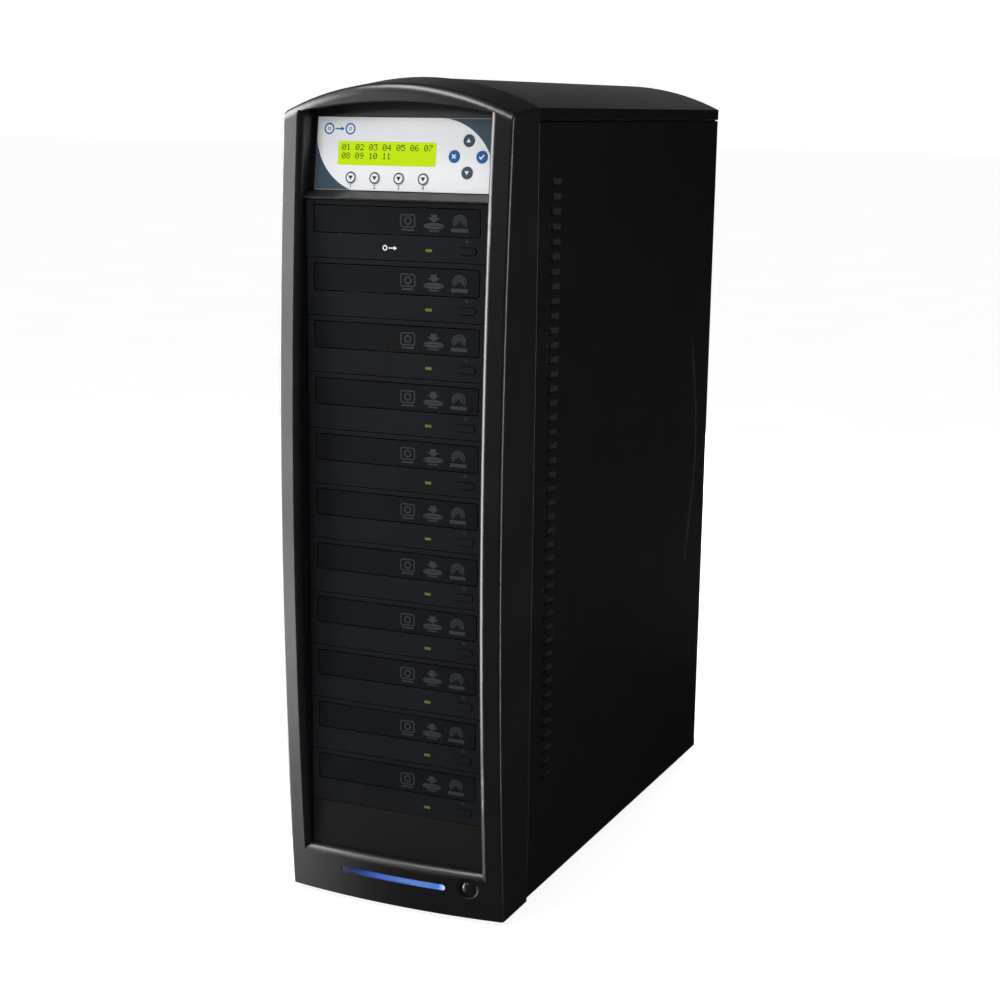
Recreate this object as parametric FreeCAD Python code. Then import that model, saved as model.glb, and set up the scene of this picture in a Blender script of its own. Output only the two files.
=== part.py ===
import FreeCAD, Part
import math
import os

from FreeCAD import Vector

# Disc duplicator tower with eleven optical drives, in millimetres.
# +X is to the right of a person who faces the tower, the front faces -Y and +Z is up.
# The origin is under the middle of the tower, on the surface that its feet stand on.

# Drive bays
DRIVE_COUNT = 11
BAY_PITCH = 42.5
FASCIA_WIDTH = 148.0
FASCIA_HEIGHT = 42.0
FASCIA_DEPTH = 8.0
FASCIA_WALL = 2.5
SHELL_WIDTH = 146.0
SHELL_HEIGHT = 41.3
SHELL_LENGTH = 168.0

# Drive tray and its door, measured down from the top edge of the fascia
DOOR_WIDTH = 134.5
DOOR_HEIGHT = 19.2
DOOR_DROP = 4.2
DOOR_THICKNESS = 2.5
DOOR_CORNER = 1.5
DOOR_GAP = 0.7
TRAY_WIDTH = 129.0
TRAY_THICKNESS = 5.0
TRAY_LIFT = 1.4
TRAY_TRAVEL = 138.0
TRAY_HOLD = 14.0
DISC_WELL_RADIUS = 60.5
DISC_WELL_DEPTH = 2.2
WELL_MARGIN = 6.0
SLED_OPENING_WIDTH = 36.0
SLED_OPENING_FRONT = 18.0
SLED_OPENING_REAR = 42.0
DISC_SPACE_WIDTH = 124.0
SLIDE_GAP = 0.35

# Clip arms of the blank bay cover
CLIP_HEIGHT = 16.0
CLIP_REACH = 12.0

# Drive controls, measured from the middle and from the top edge of the fascia
EJECT_X = 57.5
EJECT_DROP = 33.5
EJECT_WIDTH = 14.0
EJECT_HEIGHT = 5.0
EJECT_DEPTH = 5.2
EJECT_PROUD = 0.6
LED_X = 27.0
LED_DROP = 34.0
LED_WIDTH = 5.0
LED_HEIGHT = 2.0
LED_PROUD = 0.2
KEY_GAP = 0.3
LENS_GAP = 0.1

# Front bezel
BEZEL_WIDTH = 185.0
BEZEL_DEPTH = 45.7
BEZEL_WALL = 3.0
BEZEL_DROP = 2.5
CHIN_HEIGHT = 38.0
PLAN_BOW = 7.0
FRONT_BOW = 13.5
NOSE_REACH = 20.5
ARCH_RISE = 21.0
SHOULDER_RISE = 8.0
BROW_HEIGHT = 10.5
BROW_FALL = 7.0
BROW_ROUND = 8.0
BROW_GAP = 4.5
EDGE_ROUND = 2.5
WINDOW_GAP = 1.0
COVER_TUCK = 5.0
FRAME_WALL = 2.5
FRAME_DEPTH = 9.5
RIM_ROUND = 5.0
SILL_ROUND = 7.0
RIM_BITE = 12.0
RIM_COUNT = 12
SILL_COUNT = 5
BAR_HEIGHT = 6.0
BAR_REACH = 2.0
BAR_LIP = 1.2
POST_RADIUS = 3.5
POST_MARGIN = 1.5
RIB_COUNT = 4
RIB_THICKNESS = 2.0

# Light bar and power button in the chin
LIGHT_LEFT = -45.0
LIGHT_RIGHT = 46.0
LIGHT_HEIGHT = 4.8
LIGHT_RISE = 23.0
LIGHT_LENGTH = 9.0
LIGHT_RECESS = 0.4
POWER_INSET = 28.0
POWER_RISE = 24.0
POWER_RADIUS = 6.6
POWER_DOME = 2.5
POWER_PROUD = 0.4
POWER_TRAVEL = 2.0
DISH_RADIUS = 9.2
DISH_DEPTH = 2.2
BOSS_WALL = 3.0
BOSS_LENGTH = 12.0
FLANGE_LIP = 1.0
FLANGE_THICKNESS = 1.5

# Switch board behind the chin
BOARD_THICKNESS = 1.6
BOARD_HEIGHT = 19.0
BOARD_END_MARGIN = 10.0
SWITCH_SIZE = 6.0
SWITCH_GAP = 0.5
SWITCH_HEIGHT = 3.6
LAMP_COUNT = 3
LAMP_WIDTH = 6.0
LAMP_HEIGHT = 3.0
LAMP_DEPTH = 1.8

# Control panel, leaning back above the drives
PANEL_WIDTH = 143.5
PANEL_HEIGHT = 52.5
PANEL_SETBACK = 9.0
PANEL_TILT = 8.0
PANEL_THICKNESS = 1.8
PANEL_GAP = 0.45
PANEL_LEDGE = 0.5
SURROUND_STEP = 1.0
SURROUND_WALL = 3.0
HOUSING_DEPTH = 14.0
HOUSING_WALL = 2.0
HOUSING_RAIL = 9.0
DISPLAY_LEFT = -53.5
DISPLAY_RIGHT = 26.3
DISPLAY_BOTTOM = 18.1
DISPLAY_TOP = 35.1
DISPLAY_RECESS = 0.3
DISPLAY_MARGIN = 2.4
KEY_RADIUS = 4.2
KEY_PROUD = 0.7
KEY_FLANGE = 1.2
KEY_TRAVEL = 0.6
PAD_CROSS_X = 51.7
PAD_CROSS_Z = 25.6
PAD_REACH_X = 10.9
PAD_REACH_Z = 11.3
MENU_COUNT = 4
MENU_FIRST_X = -41.8
MENU_PITCH = 19.7
MENU_Z = 9.0

# Steel case
CASE_STEP = 0.5
CASE_DEPTH = 418.0
FOOT_HEIGHT = 6.5
FOOT_RADIUS = 10.0
FOOT_TAPER = 1.0
FOOT_INSET_X = 24.0
FOOT_INSET_Y = 36.0
SIDE_SHEET = 1.8
SHEET = 1.2
SHEET_GAP = 0.2
COVER_SKIRT = 8.5
COVER_DROP = 0.5
SEAM = 0.8
BASE_LIP = 7.0
BASE_FLANGE = 18.0
SIDE_FLANGE = 10.0
REAR_LIP = 14.0
FOLD_ROUND = 1.2

# Pressed scoops and finger grip of the side panels
SCOOP_COUNT = 43
SCOOP_PITCH = 11.0
SCOOP_RUN_IN = 13.0
SCOOP_RUN_OUT = 9.0
SCOOP_HEIGHT = 4.8
SCOOP_DEPTH = 2.4
SCOOP_WALL = 1.0
SCOOP_SETBACK = 23.0
SCOOP_TOP_DROP = 53.0
GRIP_HEIGHT = 212.0
GRIP_INSET = 54.0
GRIP_BOW = 24.0
GRIP_WIDTH = 10.0
GRIP_DEPTH = 1.0

# Drive cage and controller board
CAGE_GAP = 0.3
CAGE_FLANGE = 12.0
STANDOFF_RADIUS = 2.5
STANDOFF_HEIGHT = 5.0
STANDOFF_INSET = 5.0
CONTROLLER_WIDTH = 132.0
CONTROLLER_LENGTH = 96.0
CONTROLLER_SETBACK = 56.0
SOCKET_WIDTH = 8.0
SOCKET_LENGTH = 14.0
SOCKET_HEIGHT = 9.0

# Power supply
PSU_WIDTH = 150.0
PSU_HEIGHT = 86.0
PSU_LENGTH = 140.0
PSU_RIM = 5.0
PSU_RISE = 40.0
PSU_FAN_X = -28.0
PSU_FAN_RADIUS = 37.0
PSU_SHEET = 1.2
INLET_X = 46.0
INLET_RISE = 56.0
INLET_WIDTH = 27.0
INLET_HEIGHT = 20.0
INLET_DEPTH = 21.0
INLET_MOUTH_WIDTH = 24.2
INLET_MOUTH_HEIGHT = 16.4
INLET_MOUTH_DEPTH = 17.0
INLET_CHAMFER = 4.0
INLET_FLANGE = 3.0
INLET_FLANGE_THICKNESS = 2.0
PIN_WIDTH = 2.0
PIN_HEIGHT = 4.0
PIN_LENGTH = 14.0
PIN_SPACING = 14.0
PIN_EARTH_RISE = 4.0
ROCKER_RISE = 22.0
ROCKER_WIDTH = 19.0
ROCKER_HEIGHT = 13.0
ROCKER_DEPTH = 9.0
ROCKER_LEAN = 7.0
ROCKER_PIN_RADIUS = 1.2
ROCKER_PIN_LENGTH = 1.5
ROCKER_ROOM = 1.0
ROCKER_PROUD = 1.0

# Exhaust fans and the grilles in front of all the fans
FAN_SIZE = 120.0
FAN_DEPTH = 25.0
FAN_CORNER = 6.0
FAN_BORE_RADIUS = 58.0
FAN_DROP = 14.0
FAN_SPACING = 10.0
FAN_HUB_RADIUS = 20.0
FAN_HUB_HEIGHT = 18.0
FAN_BLADES = 7
FAN_TIP_GAP = 1.5
BLADE_THICKNESS = 1.6
BLADE_ANGLE = 38.0
BLADE_ROOT_SHARE = 0.65
SHAFT_RADIUS = 2.0
SHAFT_GAP = 0.05
STRUT_WIDTH = 5.0
STRUT_DEPTH = 3.5
STRUT_BITE = 1.5
GRILLE_ROWS = 7
GRILLE_SLOT = 6.0
GRILLE_RIB = 8.0

# Thumb screws
SCREW_HEAD_RADIUS = 5.5
SCREW_HEAD_HEIGHT = 6.0
SCREW_SHANK_RADIUS = 1.6
SCREW_SHANK_LENGTH = 6.0
SCREW_HOLE_GAP = 0.3
SCREW_END_INSET = 60.0

# Tolerance for finding edges by their place
NEAR = 0.01


def radius_of(half_chord, rise):
    """Radius of the arc that rises that much over a chord of twice the half chord."""
    return (half_chord ** 2 + rise ** 2) / (2 * rise)


# Half widths
BEZEL_HALF = BEZEL_WIDTH / 2
WINDOW_HALF = FASCIA_WIDTH / 2 + WINDOW_GAP
PANEL_HALF = PANEL_WIDTH / 2
CASE_HALF = BEZEL_HALF - CASE_STEP
POWER_X = BEZEL_HALF - POWER_INSET
INNER_HALF = CASE_HALF - SIDE_SHEET - SHEET_GAP
CAGE_HALF = SHELL_WIDTH / 2 + CAGE_GAP + SHEET

# Stations from front to back
# The nose of the bow lies in the window, so the foremost edge is where the rims begin to round over.
PLAN_RADIUS = radius_of(BEZEL_HALF, PLAN_BOW)
RIM_X = WINDOW_HALF + RIM_ROUND
FRONT_REACH = NOSE_REACH - PLAN_RADIUS + math.sqrt(PLAN_RADIUS ** 2 - RIM_X ** 2)
TOTAL_DEPTH = FRONT_REACH + BEZEL_DEPTH + CASE_DEPTH + SCREW_HEAD_HEIGHT
FACE_Y = FRONT_REACH - TOTAL_DEPTH / 2
NOSE_Y = FACE_Y - NOSE_REACH
JOINT_Y = FACE_Y + BEZEL_DEPTH
REAR_Y = JOINT_Y + CASE_DEPTH
SHELL_Y = FACE_Y + FASCIA_DEPTH
PANEL_Y = FACE_Y + PANEL_SETBACK
REAR_PANEL_Y = REAR_Y - SIDE_SHEET - SHEET_GAP - SHEET

# Levels from the feet up
CASE_BOTTOM = FOOT_HEIGHT
FLOOR_Z = CASE_BOTTOM + SHEET
BEZEL_BOTTOM = CASE_BOTTOM - BEZEL_DROP
SILL_Z = BEZEL_BOTTOM + CHIN_HEIGHT
BLANK_BOTTOM = SILL_Z - COVER_TUCK
STACK_BOTTOM = BLANK_BOTTOM + BAY_PITCH
STACK_TOP = STACK_BOTTOM + DRIVE_COUNT * BAY_PITCH
PANEL_Z = STACK_TOP + BAR_HEIGHT + PANEL_LEDGE
PANEL_TOP = PANEL_Z + PANEL_HEIGHT * math.cos(math.radians(PANEL_TILT))
SHOULDER_Z = PANEL_TOP + SHOULDER_RISE
PEAK_Z = SHOULDER_Z + ARCH_RISE
SIDE_TOP = SHOULDER_Z - COVER_DROP - COVER_SKIRT - SEAM
SIDE_BOTTOM = CASE_BOTTOM + BASE_LIP + SHEET_GAP
CAGE_TOP = STACK_TOP + CAGE_GAP + SHEET

# The upright bow and the arches
BOW_HALF = (SHOULDER_Z - BEZEL_BOTTOM) / 2
BOW_Z = BEZEL_BOTTOM + BOW_HALF
BOW_RADIUS = radius_of(BOW_HALF, FRONT_BOW)
BOW_AXIS = Vector(0, NOSE_Y + BOW_RADIUS, BOW_Z)
BOW_ANGLE = math.degrees(math.atan2(PEAK_Z - BEZEL_BOTTOM, BOW_RADIUS))
ARCH_RADIUS = radius_of(BEZEL_HALF, ARCH_RISE)
BROW_SLOPE = BROW_FALL / (JOINT_Y - NOSE_Y)
INNER_PEAK = PEAK_Z - BROW_FALL - BROW_HEIGHT
INNER_SPRING = PANEL_TOP + BROW_GAP
INNER_ARCH_RADIUS = radius_of(WINDOW_HALF, INNER_PEAK - INNER_SPRING)
COVER_PEAK = PEAK_Z - COVER_DROP


# Plain shapes

def box(x0, x1, y0, y1, z0, z1):
    """Block between two corners."""
    return Part.makeBox(x1 - x0, y1 - y0, z1 - z0, Vector(x0, y0, z0))


def rod(radius, x, z, y0, y1):
    """Round bar along Y."""
    return Part.makeCylinder(radius, y1 - y0, Vector(x, y0, z), Vector(0, 1, 0))


def joined(shapes):
    """One solid made of touching or overlapping shapes."""
    return shapes[0].fuse(shapes[1:]).removeSplitter()


def mirrored(shape):
    """The same piece on the other side of the tower."""
    return shape.mirror(Vector(0, 0, 0), Vector(1, 0, 0))


def prism(edges, depth):
    """Solid swept along +Y from a closed outline."""
    return Part.Face(Part.Wire(edges)).extrude(Vector(0, depth, 0))


def arc(start, middle, end):
    """Edge through three points of a circle."""
    return Part.Arc(start, middle, end).toShape()


def polygon(points):
    """Edges of a closed outline with straight sides."""
    return [Part.makeLine(a, b) for a, b in zip(points, points[1:] + points[:1])]


def rounded_rect(x0, x1, z0, z1, radius, y):
    """Closed outline with round corners, in the upright plane at that Y."""
    corners = [(x1 - radius, z0 + radius), (x1 - radius, z1 - radius),
               (x0 + radius, z1 - radius), (x0 + radius, z0 + radius)]
    bends = []
    for quarter, (x, z) in enumerate(corners):
        turns = [math.radians(90 * quarter - 90 + part) for part in (0, 45, 90)]
        bends.append([Vector(x + radius * math.cos(t), y, z + radius * math.sin(t)) for t in turns])
    edges = []
    for bend, following in zip(bends, bends[1:] + bends[:1]):
        edges.append(arc(*bend))
        if bend[2].distanceToPoint(following[0]) > 1e-6:
            edges.append(Part.makeLine(bend[2], following[0]))
    return edges


def crowned(half, radius, crown, base, place):
    """Closed outline with a flat base, straight sides and an arched top. place gives each point in space."""
    spring = crown - radius + math.sqrt(radius ** 2 - half ** 2)
    return [Part.makeLine(place(-half, base), place(half, base)),
            Part.makeLine(place(half, base), place(half, spring)),
            arc(place(half, spring), place(0, crown), place(-half, spring)),
            Part.makeLine(place(-half, spring), place(-half, base))]


def upright(y):
    """Places outline points in the upright plane at that Y."""
    return lambda x, z: Vector(x, y, z)


def on_panel(shape):
    """Moves a piece drawn upright at the origin onto the leaning control panel."""
    placed = shape.copy()
    placed.rotate(Vector(0, 0, 0), Vector(1, 0, 0), -PANEL_TILT)
    placed.translate(Vector(0, PANEL_Y, PANEL_Z))
    return placed


def drive_top(index):
    """Level of the top edge of a drive's fascia, counted from the top drive down."""
    return STACK_BOTTOM + (DRIVE_COUNT - index) * BAY_PITCH - (BAY_PITCH - FASCIA_HEIGHT) / 2


# Front bezel

def front_y(x, z):
    """Y of the doubly bowed front at a place in the front view."""
    reach = BOW_RADIUS - PLAN_RADIUS + math.sqrt(PLAN_RADIUS ** 2 - x ** 2)
    return BOW_AXIS.y - math.sqrt(reach ** 2 - (z - BOW_Z) ** 2)


def bowed(profile):
    """Turns an outline drawn in the level plane through the bow's middle about the bow's axis."""
    face = Part.Face(Part.Wire(profile))
    face.rotate(BOW_AXIS, Vector(1, 0, 0), -BOW_ANGLE)
    return face.revolve(BOW_AXIS, Vector(1, 0, 0), 2 * BOW_ANGLE)


def front_form(inset):
    """Block behind the bowed front, taken in by a wall on the front and the sides."""
    return bowed(crowned(BEZEL_HALF - inset, PLAN_RADIUS - inset, -NOSE_Y - inset, -JOINT_Y - BEZEL_WALL,
                         lambda x, forward: Vector(x, -forward, BOW_Z)))


def arch_block(half, radius, crown, base, y0, y1):
    """Block with an arched top between two stations."""
    return prism(crowned(half, radius, crown, base, upright(y0)), y1 - y0)


def falling_arch_block(half, radius, crown, base, y0, y1):
    """Block with a level base and an arched top that falls forward. The crown is its level at the rear."""
    run = y1 - y0
    fall = BROW_SLOPE * run
    outline = Part.Face(Part.Wire(crowned(half, radius, crown, base, upright(y1))))
    return outline.extrude(Vector(0, -run, -fall)).common(box(-half, half, y0, y1, base, crown))


def bezel_blank():
    """Outer form: bowed front, arched top that falls forward, with the brow and the side edges rounded."""
    block = front_form(0).common(
        falling_arch_block(BEZEL_HALF, ARCH_RADIUS, PEAK_Z, BEZEL_BOTTOM, NOSE_Y - BEZEL_WALL, JOINT_Y))
    brow = [edge for edge in block.Edges
            if edge.BoundBox.ZMin > SHOULDER_Z - BROW_FALL - BROW_ROUND and edge.BoundBox.XLength > BEZEL_HALF
            and edge.BoundBox.YMax < JOINT_Y - NEAR]
    block = block.makeFillet(BROW_ROUND, brow)
    sides = [edge for edge in block.Edges
             if edge.BoundBox.XLength < NEAR and edge.BoundBox.YMin < JOINT_Y - NEAR
             and edge.BoundBox.ZMax > BEZEL_BOTTOM + NEAR]
    return block.makeFillet(EDGE_ROUND, sides)


def in_front_of_panel(offset):
    """Everything ahead of the leaning panel's face, moved forward by an offset."""
    reach = TOTAL_DEPTH
    return on_panel(box(-reach, reach, -reach, -offset, -reach, reach))


def chin_z(rise):
    """Level of a control in the chin."""
    return BEZEL_BOTTOM + rise


def power_y():
    """Y of the bowed front at the power button."""
    return front_y(POWER_X, chin_z(POWER_RISE))


def board_y():
    """Front of the switch board, behind the power button at the end of its travel."""
    flange_back = power_y() + BOSS_LENGTH + KEY_GAP + FLANGE_THICKNESS
    return flange_back + POWER_TRAVEL + SWITCH_GAP + SWITCH_HEIGHT


def board_post_places():
    """Where the switch board's two posts stand, beyond the ends of the light bar."""
    margin = LENS_GAP + POST_MARGIN + POST_RADIUS
    return [LIGHT_LEFT - margin, LIGHT_RIGHT + margin]


def bezel_inner_frame():
    """What stands inside the hollow bezel: window frame, panel surround, ribs, posts and a boss."""
    half = WINDOW_HALF + FRAME_WALL
    front = NOSE_Y - BEZEL_WALL
    frame = box(-half, half, front, FACE_Y + FRAME_DEPTH, SILL_Z - FRAME_WALL, PANEL_Z)
    surround = arch_block(half, INNER_ARCH_RADIUS + FRAME_WALL, INNER_PEAK + FRAME_WALL,
                          STACK_TOP, front, JOINT_Y)
    surround = surround.common(in_front_of_panel(-SURROUND_WALL))
    shapes = [frame, surround]
    for index in range(RIB_COUNT):
        z = SILL_Z + (SHOULDER_Z - SILL_Z) * (index + 0.5) / RIB_COUNT
        rib = box(WINDOW_HALF, BEZEL_HALF, front, JOINT_Y, z - RIB_THICKNESS / 2, z + RIB_THICKNESS / 2)
        shapes += [rib, mirrored(rib)]
    z = chin_z(LIGHT_RISE)
    shapes += [rod(POST_RADIUS, x, z, front, board_y()) for x in board_post_places()]
    boss_radius = POWER_RADIUS + KEY_GAP + BOSS_WALL
    shapes.append(rod(boss_radius, POWER_X, chin_z(POWER_RISE), front, power_y() + BOSS_LENGTH))
    return shapes[0].fuse(shapes[1:])


def bezel_cavity():
    """Hollow behind the bezel's wall, open to the rear."""
    half = BEZEL_HALF - BEZEL_WALL
    hollow = front_form(BEZEL_WALL).common(
        falling_arch_block(half, ARCH_RADIUS - BEZEL_WALL, PEAK_Z - BEZEL_WALL, BEZEL_BOTTOM + BEZEL_WALL,
                           NOSE_Y, JOINT_Y))
    return hollow.cut(bezel_inner_frame())


def side_rim_rounding():
    """What rounds the right-hand rim of the window over. It meets the faces at the bite angle."""
    centre_y = NOSE_Y + PLAN_RADIUS
    depth = RIM_ROUND * math.cos(math.radians(RIM_BITE))
    x = WINDOW_HALF + depth
    y = centre_y - math.sqrt((PLAN_RADIUS - depth) ** 2 - x ** 2)
    middle = Vector(x, y, BOW_Z)
    outward = Vector(x, y - centre_y, 0).normalize()
    on_front = middle + outward * RIM_ROUND
    on_wall = Vector(x - RIM_ROUND, y, BOW_Z)
    between = middle + (outward + Vector(-1, 0, 0)).normalize() * RIM_ROUND
    ahead = NOSE_Y - RIM_ROUND
    inside = WINDOW_HALF - RIM_ROUND
    points = [on_wall, Vector(inside, y, BOW_Z), Vector(inside, ahead, BOW_Z),
              Vector(on_front.x, ahead, BOW_Z), on_front]
    lines = [Part.makeLine(a, b) for a, b in zip(points, points[1:])]
    return bowed(lines + [arc(on_front, between, on_wall)])


def sill_rounding():
    """What rounds the sill over, following the bow in plan. It meets the faces at the bite angle."""
    depth = SILL_ROUND * math.cos(math.radians(RIM_BITE))
    z = SILL_Z - depth
    y = front_y(0, z)
    middle = Vector(0, y + depth, z)
    between = middle + Vector(0, -1, 1).normalize() * SILL_ROUND
    on_top = middle + Vector(0, 0, SILL_ROUND)
    on_front = middle - Vector(0, SILL_ROUND, 0)
    above = SILL_Z + 2 * SILL_ROUND
    ahead = y - 2 * SILL_ROUND
    points = [on_top, Vector(0, on_top.y, above), Vector(0, ahead, above), Vector(0, ahead, z), on_front]
    lines = [Part.makeLine(a, b) for a, b in zip(points, points[1:])]
    face = Part.Face(Part.Wire(lines + [arc(on_front, between, on_top)]))
    pivot = Vector(0, y + PLAN_RADIUS, 0)
    turn = math.degrees(math.asin(BEZEL_HALF / PLAN_RADIUS))
    face.rotate(pivot, Vector(0, 0, 1), -turn)
    return face.revolve(pivot, Vector(0, 0, 1), 2 * turn)


def cut_in_lengths(shape, low, high, count, slab):
    """Parts of a long shape between two limits, in equal lengths. slab gives the space between two limits."""
    step = (high - low) / count
    return [shape.common(slab(low + index * step, low + (index + 1) * step)) for index in range(count)]


def rim_cutters():
    """Rounds the sides and the sill of the window in short lengths and mitres them where they meet."""
    right = side_rim_rounding()
    sill = sill_rounding()
    reach = TOTAL_DEPTH
    lengths = cut_in_lengths(right, SILL_Z, INNER_SPRING, RIM_COUNT,
                             lambda low, high: box(0, reach, -reach, reach, low, high))
    corner = right.common(sill)
    cutters = cut_in_lengths(sill, -WINDOW_HALF, WINDOW_HALF, SILL_COUNT,
                             lambda low, high: box(low, high, -reach, reach, 0, reach))
    for piece in lengths + [corner]:
        cutters += [piece, mirrored(piece)]
    return cutters


def window_cutters():
    """Drive window and the rebate behind its sill, arched panel recess, panel seat and sloping ledge."""
    ahead = NOSE_Y - BEZEL_WALL
    drives = box(-WINDOW_HALF, WINDOW_HALF, ahead, JOINT_Y, SILL_Z, STACK_TOP + SHEET_GAP)
    rebate = box(-WINDOW_HALF, WINDOW_HALF, FACE_Y - CAGE_GAP, JOINT_Y, BLANK_BOTTOM - CAGE_GAP, SILL_Z)
    recess = arch_block(WINDOW_HALF, INNER_ARCH_RADIUS, INNER_PEAK, PANEL_Z, ahead, JOINT_Y)
    recess = recess.common(in_front_of_panel(SURROUND_STEP))
    half = PANEL_HALF + PANEL_GAP
    seat = on_panel(box(-half, half, -BEZEL_DEPTH, BEZEL_DEPTH, -PANEL_GAP, PANEL_HEIGHT + PANEL_GAP))
    lip_y = FACE_Y - BAR_REACH
    lip_z = STACK_TOP + SHEET_GAP + BAR_LIP
    slope = polygon([Vector(-WINDOW_HALF, ahead, STACK_TOP), Vector(-WINDOW_HALF, lip_y, STACK_TOP),
                     Vector(-WINDOW_HALF, lip_y, lip_z), Vector(-WINDOW_HALF, PANEL_Y, PANEL_Z - PANEL_LEDGE),
                     Vector(-WINDOW_HALF, PANEL_Y, PANEL_Z + PANEL_LEDGE),
                     Vector(-WINDOW_HALF, ahead, PANEL_Z + PANEL_LEDGE)])
    ledge = Part.Face(Part.Wire(slope)).extrude(Vector(2 * WINDOW_HALF, 0, 0))
    return [drives, rebate, recess, seat, ledge]


def light_outline(clearance, y):
    """Round-ended outline of the light bar or its slot."""
    z = chin_z(LIGHT_RISE)
    half = LIGHT_HEIGHT / 2 + clearance
    return rounded_rect(LIGHT_LEFT - clearance, LIGHT_RIGHT + clearance, z - half, z + half, half, y)


def chin_cutters():
    """Slot for the light bar, and the dish and bore for the power button."""
    ahead = NOSE_Y - BEZEL_WALL
    slot = prism(light_outline(LENS_GAP, ahead), BEZEL_DEPTH)
    z = chin_z(POWER_RISE)
    outward = Vector(POWER_X, -math.sqrt(PLAN_RADIUS ** 2 - POWER_X ** 2), 0).normalize()
    ball_radius = radius_of(DISH_RADIUS, DISH_DEPTH)
    ball_centre = Vector(POWER_X, power_y(), z) + outward * (ball_radius - DISH_DEPTH)
    dish = Part.makeSphere(ball_radius, ball_centre)
    bore = rod(POWER_RADIUS + KEY_GAP, POWER_X, z, ahead, JOINT_Y)
    return [slot, dish, bore]


def front_bezel():
    """Moulded front: hollow, doubly bowed, with rounded window rims, an arched brow and a chin."""
    body = bezel_blank().cut(bezel_cavity())
    return body.cut(window_cutters() + rim_cutters() + chin_cutters())


def light_bar():
    """Light pipe that fills the slot in the chin and follows the bow just under the surface."""
    ahead = NOSE_Y - BEZEL_WALL
    back = front_y(LIGHT_RIGHT, chin_z(LIGHT_RISE)) + LIGHT_LENGTH
    return prism(light_outline(0, ahead), back - ahead).common(front_form(LIGHT_RECESS))


def power_button():
    """Domed button with a flange that keeps it behind the boss: one profile, turned round its axis."""
    z = chin_z(POWER_RISE)
    apex = power_y() - POWER_PROUD
    flange_front = power_y() + BOSS_LENGTH + KEY_GAP
    back = flange_front + FLANGE_THICKNESS
    flange_radius = POWER_RADIUS + FLANGE_LIP
    dome_radius = radius_of(POWER_RADIUS, POWER_DOME)
    half_turn = math.asin(POWER_RADIUS / dome_radius) / 2
    between = (dome_radius * math.sin(half_turn), apex + dome_radius * (1 - math.cos(half_turn)))
    profile = [(0, apex), between, (POWER_RADIUS, apex + POWER_DOME), (POWER_RADIUS, flange_front),
               (flange_radius, flange_front), (flange_radius, back), (0, back), (0, apex)]
    points = [Vector(POWER_X + radius, y, z) for radius, y in profile]
    lines = [Part.makeLine(a, b) for a, b in zip(points[2:], points[3:])]
    face = Part.Face(Part.Wire([arc(*points[:3])] + lines))
    return face.revolve(points[0], Vector(0, 1, 0), 360)


def front_board():
    """Switch board behind the chin, with the power switch and the lamps of the light bar."""
    y = board_y()
    z = chin_z(LIGHT_RISE)
    left = board_post_places()[0] - POST_RADIUS
    right = POWER_X + BOARD_END_MARGIN
    board = box(left, right, y, y + BOARD_THICKNESS, z - BOARD_HEIGHT / 2, z + BOARD_HEIGHT / 2)
    half = SWITCH_SIZE / 2
    switch_z = chin_z(POWER_RISE)
    switch = box(POWER_X - half, POWER_X + half, y - SWITCH_HEIGHT, y, switch_z - half, switch_z + half)
    lamps = []
    for index in range(LAMP_COUNT):
        x = LIGHT_LEFT + (LIGHT_RIGHT - LIGHT_LEFT) * (index + 0.5) / LAMP_COUNT
        lamps.append(box(x - LAMP_WIDTH / 2, x + LAMP_WIDTH / 2, y - LAMP_DEPTH, y,
                         z - LAMP_HEIGHT / 2, z + LAMP_HEIGHT / 2))
    return joined([board, switch] + lamps)


# Control panel

def key_places():
    """Name and place of each key on the panel, from the panel's middle and its lower edge."""
    places = {"key_up": (PAD_CROSS_X, PAD_CROSS_Z + PAD_REACH_Z),
              "key_down": (PAD_CROSS_X, PAD_CROSS_Z - PAD_REACH_Z),
              "key_left": (PAD_CROSS_X - PAD_REACH_X, PAD_CROSS_Z),
              "key_right": (PAD_CROSS_X + PAD_REACH_X, PAD_CROSS_Z)}
    for index in range(MENU_COUNT):
        places["key_menu_%d" % (index + 1)] = (MENU_FIRST_X + index * MENU_PITCH, MENU_Z)
    return places


def panel_plate():
    """Printed faceplate with openings for the display and the keys."""
    plate = box(-PANEL_HALF, PANEL_HALF, 0, PANEL_THICKNESS, 0, PANEL_HEIGHT)
    display = box(DISPLAY_LEFT - LENS_GAP, DISPLAY_RIGHT + LENS_GAP, -PANEL_THICKNESS, 2 * PANEL_THICKNESS,
                  DISPLAY_BOTTOM - LENS_GAP, DISPLAY_TOP + LENS_GAP)
    holes = [rod(KEY_RADIUS + KEY_GAP, x, z, -PANEL_THICKNESS, 2 * PANEL_THICKNESS)
             for x, z in key_places().values()]
    return on_panel(plate.cut([display] + holes))


def display_window():
    """Clear window over the display, just under the face of the plate."""
    return on_panel(box(DISPLAY_LEFT, DISPLAY_RIGHT, DISPLAY_RECESS, PANEL_THICKNESS,
                        DISPLAY_BOTTOM, DISPLAY_TOP))


def panel_key(x, z):
    """Round key with a square flange that keeps it behind the plate."""
    flange_front = PANEL_THICKNESS + KEY_GAP
    half = KEY_RADIUS + FLANGE_LIP
    cap = rod(KEY_RADIUS, x, z, -KEY_PROUD, flange_front)
    flange = box(x - half, x + half, flange_front, flange_front + KEY_FLANGE, z - half, z + half)
    return on_panel(joined([cap, flange]))


def keypad_depth():
    """How far behind the panel's face the keypad board is, with room for the keys' travel and switches."""
    return PANEL_THICKNESS + KEY_GAP + KEY_FLANGE + KEY_TRAVEL + KEY_GAP + SWITCH_HEIGHT


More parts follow.
